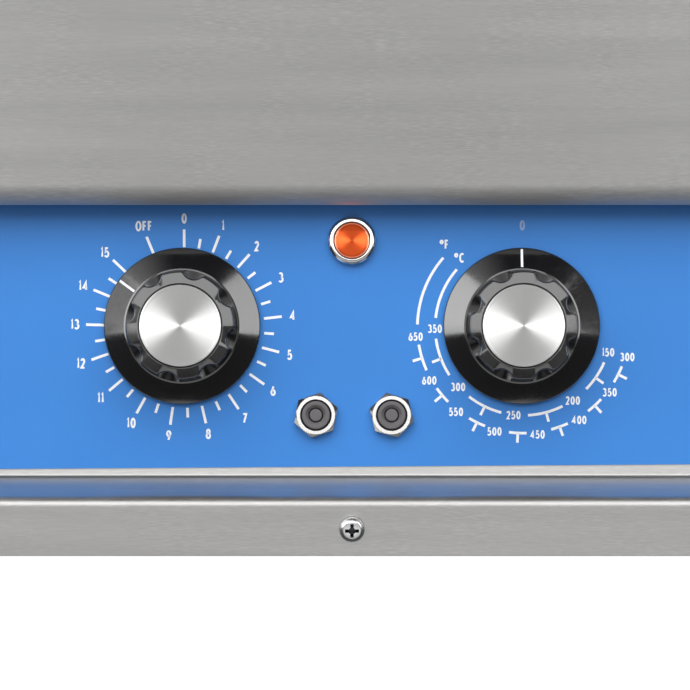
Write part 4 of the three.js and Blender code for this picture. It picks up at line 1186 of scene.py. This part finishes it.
def stud_across():
    """How far the plate's studs stand from the middle, from the lowest points of the CAD plate."""
    nodes = frame["nodes"]["griddle_plate"].data.vertices
    floor = min(v.co.z for v in nodes)
    right = [v.co.x for v in nodes if v.co.z < floor + 0.1 * MM and v.co.x > 0]
    return (min(right) + max(right)) / 2


STUD_ACROSS = stud_across()


class GRIDDLE_OT_overlay(Build, bpy.types.Operator):
    """Lay the blue film on the leaning panel"""

    bl_idname = "griddle.overlay"
    bl_label = "Panel Overlay"

    def build(self):
        dress("panel_overlay", "blue_film")


class GRIDDLE_OT_timer_scale(Build, bpy.types.Operator):
    """Print the timer's minutes and marks"""

    bl_idname = "griddle.timer_scale"
    bl_label = "Timer Scale"

    step: FloatProperty(name="Step", description="Turn between two minutes", default=math.radians(20.9),
                        subtype="ANGLE")
    off: FloatProperty(name="Off", description="Turn of the off mark", default=math.radians(337.5), subtype="ANGLE")
    inner: length("Inner", "Inner radius of the marks", 25.7 * MM)
    outer: length("Outer", "Outer radius of the minute marks", 31.4 * MM)
    short: length("Short", "Outer radius of the half minute marks", 28.8 * MM)
    figures: length("Figures", "Height of the figures", 3.35 * MM)
    figure_ring: length("Figure Ring", "Radius that the figures stand on", 34.9 * MM)

    def build(self):
        _, controls = settings()
        low, high = OVERLAY_FACE, OVERLAY_FACE + controls.print_thick
        centre = Vector((DIALS["timer"].x + 0.6 * MM, -0.5 * MM))
        tree = bpy.data.node_groups.get("Tick Ring") or tick_ring_tree()
        rings = [
            (controls.minutes + 1, 0.0, self.outer),
            (controls.minutes, self.step / 2, self.short),
            (1, self.off, self.outer),
        ]
        bm = bmesh.new()
        for count, first, outer in rings:
            marks = run_tree(empty_piece("marks"), tree, {
                "Count": count,
                "First Angle": first,
                "Step": self.step,
                "Inner": self.inner,
                "Outer": outer,
                "Width": controls.print_width,
                "Thickness": controls.print_thick,
                "Ink": material("white_ink"),
            })
            marks.data.transform(Matrix.Translation((*centre, (low + high) / 2)))
            bm.from_mesh(marks.data)
            bpy.data.objects.remove(marks)
        for minute in range(controls.minutes + 1):
            at = centre + around(math.degrees(self.step) * minute, self.figure_ring)
            write(bm, str(minute), at.x, at.y, self.figures, low, high)
        at = centre + around(math.degrees(self.off) + 0.8, self.figure_ring)
        write(bm, "OFF", at.x, at.y, self.figures, low, high)
        made = mesh_object("timer_print", bm, PANEL)
        finish_piece(made, "white_ink", "frame", "blue_overlay")


class GRIDDLE_OT_thermostat_scale(Build, bpy.types.Operator):
    """Print the thermostat's two rings of figures with their arcs and marks"""

    bl_idname = "griddle.thermostat_scale"
    bl_label = "Thermostat Scale"

    outer_arc: length("Outer Arc", "Radius of the outer arcs", 33.9 * MM)
    inner_arc: length("Inner Arc", "Radius of the inner arcs", 28.2 * MM)
    tick: length("Tick", "Length of the marks outside the arcs", 3.1 * MM)
    figures: length("Figures", "Height of the figures", 2.75 * MM)

    def build(self):
        _, controls = settings()
        low, high = OVERLAY_FACE, OVERLAY_FACE + controls.print_thick
        width = controls.print_width
        centre = Vector((DIALS["thermostat"].x + 0.6 * MM, -0.4 * MM))
        bm = bmesh.new()
        fahrenheit = zip(range(300, 700, 50), (106, 127, 149, 172.5, 195.5, 218.5, 240.5, 265))
        celsius = zip(range(150, 400, 50), (106.5, 146, 186.4, 227.5, 269))
        for ring, radius in ((fahrenheit, self.outer_arc + 0.7 * MM), (celsius, self.inner_arc + 0.1 * MM)):
            for value, angle in ring:
                at = centre + around(angle, radius)
                write(bm, str(value), at.x, at.y, self.figures, low, high)
        arcs = [(self.outer_arc, angle - 4.8, angle + 4.8, angle) for angle in (116.5, 137.6, 160, 183, 206, 230)]
        arcs += [(self.outer_arc, 246, 260.5, 253), (self.outer_arc, 271.5, 311, None)]
        arcs += [(self.inner_arc, 113.5, 134.5, 125), (self.inner_arc, 153.6, 177, 165)]
        arcs += [(self.inner_arc, 194.5, 218, 206), (self.inner_arc, 237, 262.5, 249)]
        arcs += [(self.inner_arc, 276, 311, None)]
        for radius, start, end, mark in arcs:
            scale_arc(bm, centre, radius, start, end, width, low, high)
            if mark is not None:
                scale_tick(bm, centre, mark, radius, radius + self.tick, width, low, high)
        for text, angle, radius in (("°F", 316.2, 36.6), ("°C", 317.3, 30.2)):
            at = centre + around(angle, radius * MM)
            write(bm, text, at.x, at.y, self.figures * 1.15, low, high)
        # The zero under the apron is printed in ink painted dim: painted shade.
        zero = bmesh.new()
        at = centre + around(-0.6, 32.6 * MM)
        write(zero, "0", at.x, at.y, self.figures * 1.2, low, high)
        shaded_zero = mesh_object("thermostat_zero", zero, PANEL)
        finish_piece(shaded_zero, "worn_ink", "frame", "blue_overlay")
        made = mesh_object("thermostat_print", bm, PANEL)
        finish_piece(made, "white_ink", "frame", "blue_overlay")


class GRIDDLE_OT_dials(Build, bpy.types.Operator):
    """Mould the two dials with their skirts, lobed grips and spun caps"""

    bl_idname = "griddle.dials"
    bl_label = "Dials"

    sides: IntProperty(name="Sides", description="Points around a dial", default=240, min=64)
    face_drop: length("Face Drop", "How much the grip's face falls to its edge", 0.35 * MM)
    groove: length("Groove", "Gap around the cap", 0.4 * MM)

    def build(self):
        for name in DIALS:
            self.build_dial(name)

    def lobed(self, inset, z, controls, grip, fall=0.0):
        """A ring of the grip's outline, moved inwards, and lower by a share of its scallops' depth."""
        reach = grip - controls.lobe_depth + controls.lobe_cut
        cut = controls.lobe_cut + inset
        pitch = TAU / controls.lobes
        ring = []
        for angle in angles_of(self.sides):
            phase = (angle + math.pi / 2) % pitch - pitch / 2
            outer = grip - inset
            inside = cut * cut - (reach * math.sin(phase)) ** 2
            scallop = reach * math.cos(phase) - math.sqrt(inside) if inside > 0 else 1.0
            sharp = 5000.0
            blend = math.exp(-sharp * (outer - grip)) + math.exp(-sharp * (scallop - grip))
            radius = -math.log(blend) / sharp + grip
            ring.append(Vector((radius * math.cos(angle), radius * math.sin(angle), z - (grip - radius) * fall)))
        return ring

    def build_dial(self, name):
        _, controls = settings()
        low, high = panel_box(name + "_knob")
        cap_low, cap_high = panel_box(name + "_knob_cap")
        skirt = (high.x - low.x) / 2
        cap = (cap_high.x - cap_low.x) / 2
        grip = cap + GRIP_WALL
        bead = grip + controls.grip_bead
        edge = controls.skirt_edge
        rise = low.z + SKIRT_RISE
        side = outline([
            (skirt - 1.2 * MM, low.z),
            (skirt, low.z, edge),
            (skirt, low.z + 3 * edge, edge),
            (bead + edge, rise - 0.1 * MM, 0.7 * MM),
            (bead, rise + 0.15 * edge, 0.2 * MM),
            (bead - 0.6 * MM, rise - 0.05 * MM),
        ], closed=False)
        circle = partial(level_ring, self.sides)
        rings = [circle(radius, z) for radius, z in side]
        rings += [self.lobed(0, rise + 0.1 * MM, controls, grip, 0.27)]
        rings += [self.lobed(0.08 * MM, rise + 4 * MM, controls, grip)]
        bend = 0.55 * MM
        top = high.z
        for a in [math.radians(d) for d in range(0, 91, 15)]:
            inset = 0.12 * MM + bend * (1 - math.cos(a))
            rings.append(self.lobed(inset, top - self.face_drop - bend + bend * math.sin(a), controls, grip))
        lip = cap + self.groove
        rings += [circle(lip + 0.5 * MM, top - 0.03 * MM), circle(lip + 0.15 * MM, top - 0.04 * MM)]
        rings += [circle(lip, top - 0.2 * MM), circle(cap + 0.02 * MM, cap_low.z - 0.05 * MM)]
        spot = panel_spot(name + "_knob_cap")
        spot = spot @ Matrix.Rotation(pointer_turn(name), 4, "Z")
        body = name + "_dial"
        made = mesh_object(name + "_moulding", loft(rings), spot)
        finish_piece(made, "gloss_moulding", body, "knob_black", name + "_knob")
        rim, face = cap_high.z, cap_high.z - 0.1 * MM
        disc = [(0, cap_low.z), (cap, cap_low.z), (cap, rim, 0.3 * MM), (cap - 0.7 * MM, rim, 0.2 * MM),
                (cap - 0.85 * MM, face), (cap - 0.95 * MM, face), (0, face)]
        made = mesh_object(name + "_cap", turned(disc, 128), spot)
        finish_piece(made, name + "_cap", body, "cap_aluminium", name + "_knob_cap")
        foot, head = Vector((skirt, low.z + 3 * edge)), Vector((bead + edge, rise - 0.1 * MM))
        slope = [foot.lerp(head, 0.07), foot.lerp(head, 0.96)]
        made = mesh_object(name + "_pointer", self.pointer(slope, controls), spot)
        finish_piece(made, "white_ink", body, "knob_black")
        dress(name + "_shaft", "bright_plating")
        dress(name + "_body", "bakelite")

    def pointer(self, slope, controls):
        """The white line down the skirt, a painted strip that lies on its slope."""
        (outer, low), (inner, high) = slope
        half = controls.pointer_width / 2
        corners = [(-half, -0.3 * MM), (half, -0.3 * MM), (half, 0.05 * MM), (-half, 0.05 * MM)]
        bm = bmesh.new()
        rows = [[bm.verts.new((x, y, z + rise)) for x, rise in corners] for y, z in ((outer, low), (inner, high))]
        bridge(bm, *rows)
        bm.faces.new(rows[0])
        bm.faces.new(rows[1][::-1])
        return bm


def pointer_turn(name):
    """How far a dial's pointer is turned from the top, anticlockwise: the timer stands near its end."""
    return math.radians({"timer": -306, "thermostat": 0}[name])


class GRIDDLE_OT_lamp(Build, bpy.types.Operator):
    """Make the pilot lamp's bezel and lens"""

    bl_idname = "griddle.lamp"
    bl_label = "Pilot Lamp"

    def build(self):
        low, high = panel_box("pilot_lamp_bezel")
        outer = (high.x - low.x) / 2
        lens_low, lens_high = panel_box("pilot_lamp_lens")
        lens = (lens_high.x - lens_low.x) / 2
        spot = panel_spot("pilot_lamp_lens")
        rim = [(lens + 0.2 * MM, low.z), (outer, low.z, 0.2 * MM), (outer, high.z - 0.8 * MM, 0.4 * MM),
               (outer - 0.75 * MM, high.z - 0.05 * MM, 0.7 * MM), (lens + 0.5 * MM, high.z, 0.3 * MM),
               (lens + 0.2 * MM, high.z - 0.2 * MM, 0.1 * MM)]
        made = mesh_object("lamp_bezel", turned(rim, 96), spot)
        finish_piece(made, "bright_plating", "frame", "chrome", "pilot_lamp_bezel")
        dome = [(0, lens_low.z), (lens, lens_low.z), (lens, lens_high.z - 1.0 * MM, 0.5 * MM),
                (lens - 0.7 * MM, lens_high.z - 0.45 * MM, 1 * MM), (0, lens_high.z)]
        made = mesh_object("lamp_lens", turned(dome, 96), spot)
        finish_piece(made, "amber_lens", "frame", "amber_lens", "pilot_lamp_lens")
        dress("pilot_lamp_body", "bakelite")


class GRIDDLE_OT_breakers(Build, bpy.types.Operator):
    """Make the two resettable breakers with their hexagon nuts and buttons"""

    bl_idname = "griddle.breakers"
    bl_label = "Breakers"

    sides: IntProperty(name="Sides", description="Points around a nut", default=96, min=24)
    chamfer: FloatProperty(name="Chamfer", description="Slope of the nut's corner cut", default=math.radians(42),
                           subtype="ANGLE")

    def build(self):
        turns = {"left": math.radians(-10.6), "right": math.radians(14)}
        for side in SIDES:
            spot = panel_spot(f"breaker_{side}_button")
            self.build_nut(side, spot @ Matrix.Rotation(turns[side], 4, "Z"))
            self.build_body(side, spot)
            self.build_button(side, spot)

    def build_nut(self, side, spot):
        low, high = panel_box(f"breaker_{side}_nut")
        flat = BREAKER_NECK + NUT_WALL
        face, bore = flat - 0.25 * MM, BREAKER_NECK + 0.25 * MM

        def hexagon(chamfered):
            ring = []
            for a in angles_of(self.sides):
                phase = (a + math.pi / 2) % (math.pi / 3) - math.pi / 6
                radius = flat / math.cos(phase)
                z = high.z - (radius - face) * math.tan(self.chamfer) if chamfered else low.z
                ring.append(Vector((radius * math.cos(a), radius * math.sin(a), z)))
            return ring

        circle = partial(level_ring, self.sides)
        rings = [circle(bore, low.z), hexagon(False), hexagon(True), circle(face, high.z)]
        rings += [circle(bore + 0.12 * MM, high.z), circle(bore, high.z - 0.12 * MM)]
        bm = bmesh.new()
        made = [[bm.verts.new(p) for p in ring] for ring in rings]
        for first, second in zip(made, made[1:] + made[:1]):
            bridge(bm, first, second)
        nut = mesh_object(f"nut_{side}", bm, spot)
        finish_piece(nut, "nickel_nut", "frame", "chrome", f"breaker_{side}_nut")

    def build_body(self, side, spot):
        low, high = panel_box(f"breaker_{side}_body")
        neck, bore, top, deep = NECK_SHOWN, 2.35 * MM, high.z, high.z - 9.7 * MM
        profile = [(bore, deep), (bore, top - 0.75 * MM, 0.2 * MM),
                   (bore + 0.5 * MM, top - 0.35 * MM, 0.2 * MM), (bore + 1.0 * MM, top, 0.25 * MM),
                   (neck, top, 0.35 * MM), (neck, CASE_TOP), (neck, NECK_FOOT),
                   (0.6 * MM, NECK_FOOT), (0.6 * MM, deep)]
        bm = turned(profile, 64)
        centre = spot.translation
        place = TO_PANEL @ centre
        case_low = (low.x - place.x, low.y - place.y, low.z)
        case_high = (high.x - place.x, high.y - place.y, CASE_TOP)
        made = mesh_object(f"breaker_{side}", box_solid(case_low, case_high, bm), spot)
        soften(made, 0.3 * MM, 2)
        finish_piece(made, "grey_moulding", "frame", "breaker_grey", f"breaker_{side}_body")

    def build_button(self, side, spot):
        low, high = panel_box(f"breaker_{side}_button")
        radius = (high.x - low.x) / 2
        profile = [(0, low.z), (radius, low.z), (radius, high.z, 0.4 * MM), (0, high.z - 0.05 * MM)]
        made = mesh_object(f"reset_button_{side}", turned(profile, 40), spot)
        finish_piece(made, "grey_moulding", "reset_" + side, "breaker_grey", f"breaker_{side}_button")


class GRIDDLE_OT_drawer(Build, bpy.types.Operator):
    """Make the grease drawer's front and handle"""

    bl_idname = "griddle.drawer"
    bl_label = "Grease Drawer"

    def build(self):
        low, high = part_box("drawer_front")
        made = mesh_object("drawer_face", box_solid(low, high))
        soften(made, 0.6 * MM, 4)
        finish_piece(made, "steel_apron", "drawer", "brushed_sheet", "drawer_front")
        low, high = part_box("drawer_handle")
        radius = (high.z - low.z) / 2
        z = (low.z + high.z) / 2
        left, right = low.x + radius, high.x - radius
        grip = low.y + radius
        points = [(left, high.y, z), (left, grip, z), (right, grip, z), (right, high.y, z)]
        made = tube_along(points, 7 * MM, radius, "handle_bow", 8)
        finish_piece(made, "bright_plating", "drawer", "chrome", "drawer_handle")
        dress("grease_drawer", "steel_back")


class GRIDDLE_OT_legs(Build, bpy.types.Operator):
    """Turn the four plated legs and their rubber feet"""

    bl_idname = "griddle.legs"
    bl_label = "Legs And Feet"

    def build(self):
        for name in FEET:
            low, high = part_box("leg_" + name)
            foot_low, foot_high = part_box("foot_" + name)
            centre = (low + high) / 2
            place = Matrix.Translation((centre.x, centre.y, 0))
            flange = (high.x - low.x) / 2
            stem = 6 * MM
            bore, bottom, under = stem + 0.6 * MM, foot_high.z + 6 * MM, high.z - 3 * MM
            leg = [(0, bottom), (bore, bottom), (bore, low.z), (14 * MM, low.z, 0.6 * MM),
                   (16 * MM, high.z - 5 * MM, 3 * MM), (16.4 * MM, under, 0.5 * MM),
                   (flange, under, 0.6 * MM), (flange, high.z), (0, high.z)]
            made = mesh_object("leg_shell_" + name, turned(leg, 64), place)
            finish_piece(made, "bright_plating", "frame", "chrome", "leg_" + name)
            sole = (foot_high.x - foot_low.x) / 2
            waist = 12 * MM
            neck = low.z - 0.3 * MM
            foot = [(0, 0.6 * MM), (sole - 4.5 * MM, 0.6 * MM, 0.3 * MM), (sole - 4 * MM, 0),
                    (sole - 2 * MM, 0, 0.3 * MM), (sole, 2 * MM, 1 * MM), (sole, 8 * MM, 1 * MM),
                    (sole - 1 * MM, 9 * MM, 1 * MM), (waist, 14 * MM, 2 * MM), (waist, neck, 0.4 * MM),
                    (stem, neck), (stem, foot_high.z - 0.8 * MM), (stem - 0.8 * MM, foot_high.z), (0, foot_high.z)]
            made = mesh_object("foot_pad_" + name, turned(foot, 64), place)
            finish_piece(made, "foot_rubber", "levelling_" + name, "foot_rubber", "foot_" + name)


class GRIDDLE_OT_screws(Build, bpy.types.Operator):
    """Set the three screws in the console's flange"""

    bl_idname = "griddle.screws"
    bl_label = "Front Screws"

    def build(self):
        nodes = ["front_screw_" + end for end in ("left", "centre", "right")]
        boxes = [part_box(node) for node in nodes]
        low, high = boxes[0]
        radius, reach = (high.x - low.x) / 2, FLANGE.y - low.y - 0.3 * MM
        head = screw_head(radius, reach, 6 * MM)
        head.data.transform(facing((0, -1, 0)))
        spots = [((a.x + b.x) / 2, FLANGE.y - 0.3 * MM, (a.z + b.z) / 2) for a, b in boxes]
        made = scatter("flange_screws", head, spots, (0, 1, 0), "screw_plating")
        finish_piece(made, "screw_plating", "frame", "chrome", *nodes)


class GRIDDLE_OT_insides(Build, bpy.types.Operator):
    """Finish what is inside the body, and pad out the insulation"""

    bl_idname = "griddle.insides"
    bl_label = "Inside"

    def build(self):
        finishes = {
            "zinc_sheet": ["base_pan", "plate_rail_left", "plate_rail_right", "element_clamp_front",
                           "element_clamp_rear", "heat_shield", "bulb_clip", "drawer_rail_left",
                           "drawer_rail_right"],
            "element_sheath": ["heating_element_left", "heating_element_right"],
            "copper_tube": ["thermostat_bulb", "capillary_tube"],
            "bakelite": ["gland_locknut"],
            "porcelain": ["terminal_block"],
        }
        for name, nodes in finishes.items():
            for node in nodes:
                dress(node, name)
        self.build_blanket()

    def build_blanket(self):
        """A felted pad: its CAD solid with eased edges and a surface that rises and falls."""
        low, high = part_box("insulation_blanket")
        bm = bmesh.new()
        bm.from_mesh(frame["nodes"]["insulation_blanket"].data)
        bmesh.ops.remove_doubles(bm, verts=bm.verts, dist=1e-6)
        bmesh.ops.dissolve_limit(bm, angle_limit=math.radians(1), verts=bm.verts, edges=bm.edges)
        made = mesh_object("wool_blanket", bm)
        soften(made, 1.2 * MM, 2)
        modifier = made.modifiers.new("mesh", "REMESH")
        modifier.mode = "VOXEL"
        modifier.voxel_size = 3.2 * MM
        apply_modifiers(made)
        middle = (low + high) / 2
        for vertex in made.data.vertices:
            wave = noise.noise(vertex.co * 45) * 0.6 + noise.noise(vertex.co * 140) * 0.3
            away, half = vertex.co - middle, high - middle
            reach = max(abs(away.x) / half.x, abs(away.y) / half.y)
            ease = 1 - max(0, reach - 0.9) * 1.2
            vertex.co.z = middle.z + (vertex.co.z - middle.z) * (0.88 + 0.08 * wave) * ease
        finish_piece(made, "ceramic_wool", "frame", "blanket", "insulation_blanket")


class GRIDDLE_OT_stage(Build, bpy.types.Operator):
    """Set the pale floor, the soft lights and the camera in front of the control panel"""

    bl_idname = "griddle.stage"
    bl_label = "Studio"

    distance: length("Camera Distance", "From the panel to the camera", 1.5)
    view_half: FloatProperty(name="Half Angle", description="Half of the camera's view", default=math.radians(4.21),
                             subtype="ANGLE")
    floor_size: length("Floor Size", "Side of the floor", 60.0)
    fill: FloatProperty(name="Fill", description="Brightness of the wide fill light", default=3.35)
    side: FloatProperty(name="Side Cards", description="Brightness of the side cards", default=2.9)
    strip: FloatProperty(name="Spun Cards", description="Brightness of the cards seen by spun pieces", default=5.0)
    front: FloatProperty(name="Front Card", description="Brightness of the card in front", default=2.15)
    dark: FloatProperty(name="Dark", description="Brightness below the horizon", default=0.05)
    low_sky: FloatProperty(name="Low Sky", description="Brightness just above the horizon", default=0.26)
    high_sky: FloatProperty(name="High Sky", description="Brightness added overhead", default=-0.25)
    behind: FloatProperty(name="Behind", description="Brightness added behind the griddle", default=0.55)
    table: FloatProperty(name="Table", description="Brightness of the table in front", default=0.9)
    left: FloatProperty(name="Left", description="Brightness added on the left", default=1.0)

    def build(self):
        self.build_camera()
        self.build_floor()
        self.build_world()
        self.build_lights()
        bpy.context.scene.view_settings.view_transform = "Standard"

    def build_camera(self):
        camera = bpy.data.cameras.new("camera")
        camera.sensor_width = 36
        camera.angle = 2 * self.view_half
        camera.clip_end = 100
        holder = bpy.data.objects.new("camera", camera)
        bpy.context.scene.collection.objects.link(holder)
        target = PANEL @ Vector((-2.2 * MM, -6.1 * MM, 0))
        holder.location = target + OUT * self.distance
        holder.rotation_euler = OUT.to_track_quat("Z", "Y").to_euler()
        bpy.context.scene.camera = holder

    def build_floor(self):
        half = self.floor_size / 2
        made = mesh_object("floor", box_solid((-half, -half, -20 * MM), (half, half, 0)))
        finish = Finish("pale_floor", Roughness=0.9)
        finish.tint((0.3, 0.3, 0.3), finish.noise((3, 3, 3), 3.0), 0.03)
        finish.set("Emission Color", (1, 1, 1, 1))
        finish.set("Emission Strength", 1.0)
        finish.material.cycles.emission_sampling = "NONE"
        made.data.materials.append(finish.material)
        made.visible_glossy = False
        made.visible_diffuse = False
        made.visible_shadow = False

    def build_world(self):
        """Bright above the horizon and dark below it but for a pale table in front, for bright work to reflect."""
        world = bpy.data.worlds.new("studio")
        world.use_nodes = True
        tree = world.node_tree
        place = tree.nodes.new("ShaderNodeTexCoord")
        split = add_node(tree, "ShaderNodeSeparateXYZ", {0: place.outputs["Generated"]})
        maths = partial(math_node, tree)

        def band(value, low, high, start, end):
            inputs = {"Value": value, "From Min": low, "From Max": high, "To Min": start, "To Max": end}
            node = add_node(tree, "ShaderNodeMapRange", inputs, interpolation_type="SMOOTHSTEP")
            return node.outputs[0]

        height = split.outputs[2]
        sky = band(height, -0.03, 0.06, self.dark, self.low_sky)
        sky = maths("ADD", sky, band(height, 0.1, 0.9, 0, self.high_sky))
        front = band(split.outputs[1], -0.75, -0.95, 0.0, 1.0)
        table = band(height, -0.02, -0.12, 0.0, self.table)
        table = maths("MULTIPLY", table, band(height, -0.95, -0.45, 0.0, 1.0))
        behind = band(split.outputs[1], 0.1, 0.7, 0.0, self.behind)
        left = band(split.outputs[0], -0.1, -0.8, 0.0, self.left)
        left = maths("MULTIPLY", left, band(height, 0.0, 0.2, 0.0, 1.0))
        level = maths("ADD", maths("ADD", sky, behind), maths("ADD", left, maths("MULTIPLY", table, front)))
        put(tree, tree.nodes["Background"].inputs[1], level)
        put(tree, tree.nodes["Background"].inputs[0], (1, 1, 1))
        bpy.context.scene.world = world

    def add_light(self, name, at, aim, wide, high, radiance, shine):
        """A rectangular light that either shows in reflections or lights what is matt."""
        light = bpy.data.lights.new(name, "AREA")
        light.shape = "RECTANGLE"
        light.size, light.size_y = wide, high
        light.energy = radiance * math.pi * wide * high
        holder = bpy.data.objects.new(name, light)
        bpy.context.scene.collection.objects.link(holder)
        holder.location = at
        holder.rotation_euler = (Vector(at) - Vector(aim)).to_track_quat("Z", "Y").to_euler()
        holder.visible_camera = False
        holder.visible_glossy = shine
        holder.visible_diffuse = not shine
        return holder

    def around_panel(self, azimuth, elevation, distance):
        """A place seen from the panel's middle, its azimuth to the right of straight ahead."""
        a, e = math.radians(azimuth), math.radians(elevation)
        return MIDDLE + Vector((math.sin(a) * math.cos(e), -math.cos(a) * math.cos(e), math.sin(e))) * distance

    def build_lights(self):
        """A soft fill, a card in front that the lens doesn't see, side cards, and two that only spun pieces see."""
        self.add_light("fill", self.around_panel(0, 54, 2.0), MIDDLE, 3.0, 1.9, self.fill, False)
        spun = bpy.data.collections.new("spun")
        for name in ("timer_cap", "thermostat_cap", "lamp_lens"):
            spun.objects.link(bpy.data.objects[name])
        for side in (-1, 1):
            at = MIDDLE + Vector((side * 0.455, -0.35, 0.3))
            self.add_light(f"side_{side}", at, at + Vector((0, 1, 0)), 0.32, 0.56, self.side, True)
            at = self.around_panel(side * 58, 13, 1.0)
            strip = self.add_light(f"strip_{side}", at, MIDDLE, 0.75, 0.9, self.strip, True)
            strip.light_linking.receiver_collection = spun
        front = self.add_light("front", self.around_panel(0, 32, 2.0), MIDDLE, 1.4, 1.5, self.front, True)
        unlit = bpy.data.collections.new("unlit")
        unlit.objects.link(bpy.data.objects["lamp_lens"])
        unlit.collection_objects[0].light_linking.link_state = "EXCLUDE"
        front.light_linking.receiver_collection = unlit


OPERATORS = (
    GRIDDLE_OT_console,
    GRIDDLE_OT_apron,
    GRIDDLE_OT_sides,
    GRIDDLE_OT_rear,
    GRIDDLE_OT_cooking_top,
    GRIDDLE_OT_overlay,
    GRIDDLE_OT_timer_scale,
    GRIDDLE_OT_thermostat_scale,
    GRIDDLE_OT_dials,
    GRIDDLE_OT_lamp,
    GRIDDLE_OT_breakers,
    GRIDDLE_OT_drawer,
    GRIDDLE_OT_legs,
    GRIDDLE_OT_screws,
    GRIDDLE_OT_insides,
    GRIDDLE_OT_stage,
)


class GRIDDLE_PT_panel(bpy.types.Panel):
    """Lists the griddle's sizes, colours and pieces"""

    bl_label = "Flat Top Griddle"
    bl_space_type = "VIEW_3D"
    bl_region_type = "UI"
    bl_category = "Griddle"

    def draw(self, context):
        scene = context.scene
        for group in (scene.griddle_sheet, scene.griddle_controls, scene.griddle_colours):
            column = self.layout.column(align=True)
            for name in group.__annotations__:
                column.prop(group, name)
        for operator in OPERATORS:
            self.layout.operator(operator.bl_idname)


GROUPS = {
    "griddle_sheet": GriddleSheet,
    "griddle_controls": GriddleControls,
    "griddle_colours": GriddleColours,
}


def register():
    for name, group in GROUPS.items():
        bpy.utils.register_class(group)
        setattr(bpy.types.Scene, name, PointerProperty(type=group))
    for kind in (*OPERATORS, GRIDDLE_PT_panel):
        bpy.utils.register_class(kind)


def unregister():
    for kind in (GRIDDLE_PT_panel, *reversed(OPERATORS)):
        bpy.utils.unregister_class(kind)
    for name, group in GROUPS.items():
        delattr(bpy.types.Scene, name)
        bpy.utils.unregister_class(group)


def main():
    register()
    for operator in OPERATORS:
        family, name = operator.bl_idname.split(".")
        getattr(getattr(bpy.ops, family), name)()


if __name__ == "__main__":
    main()
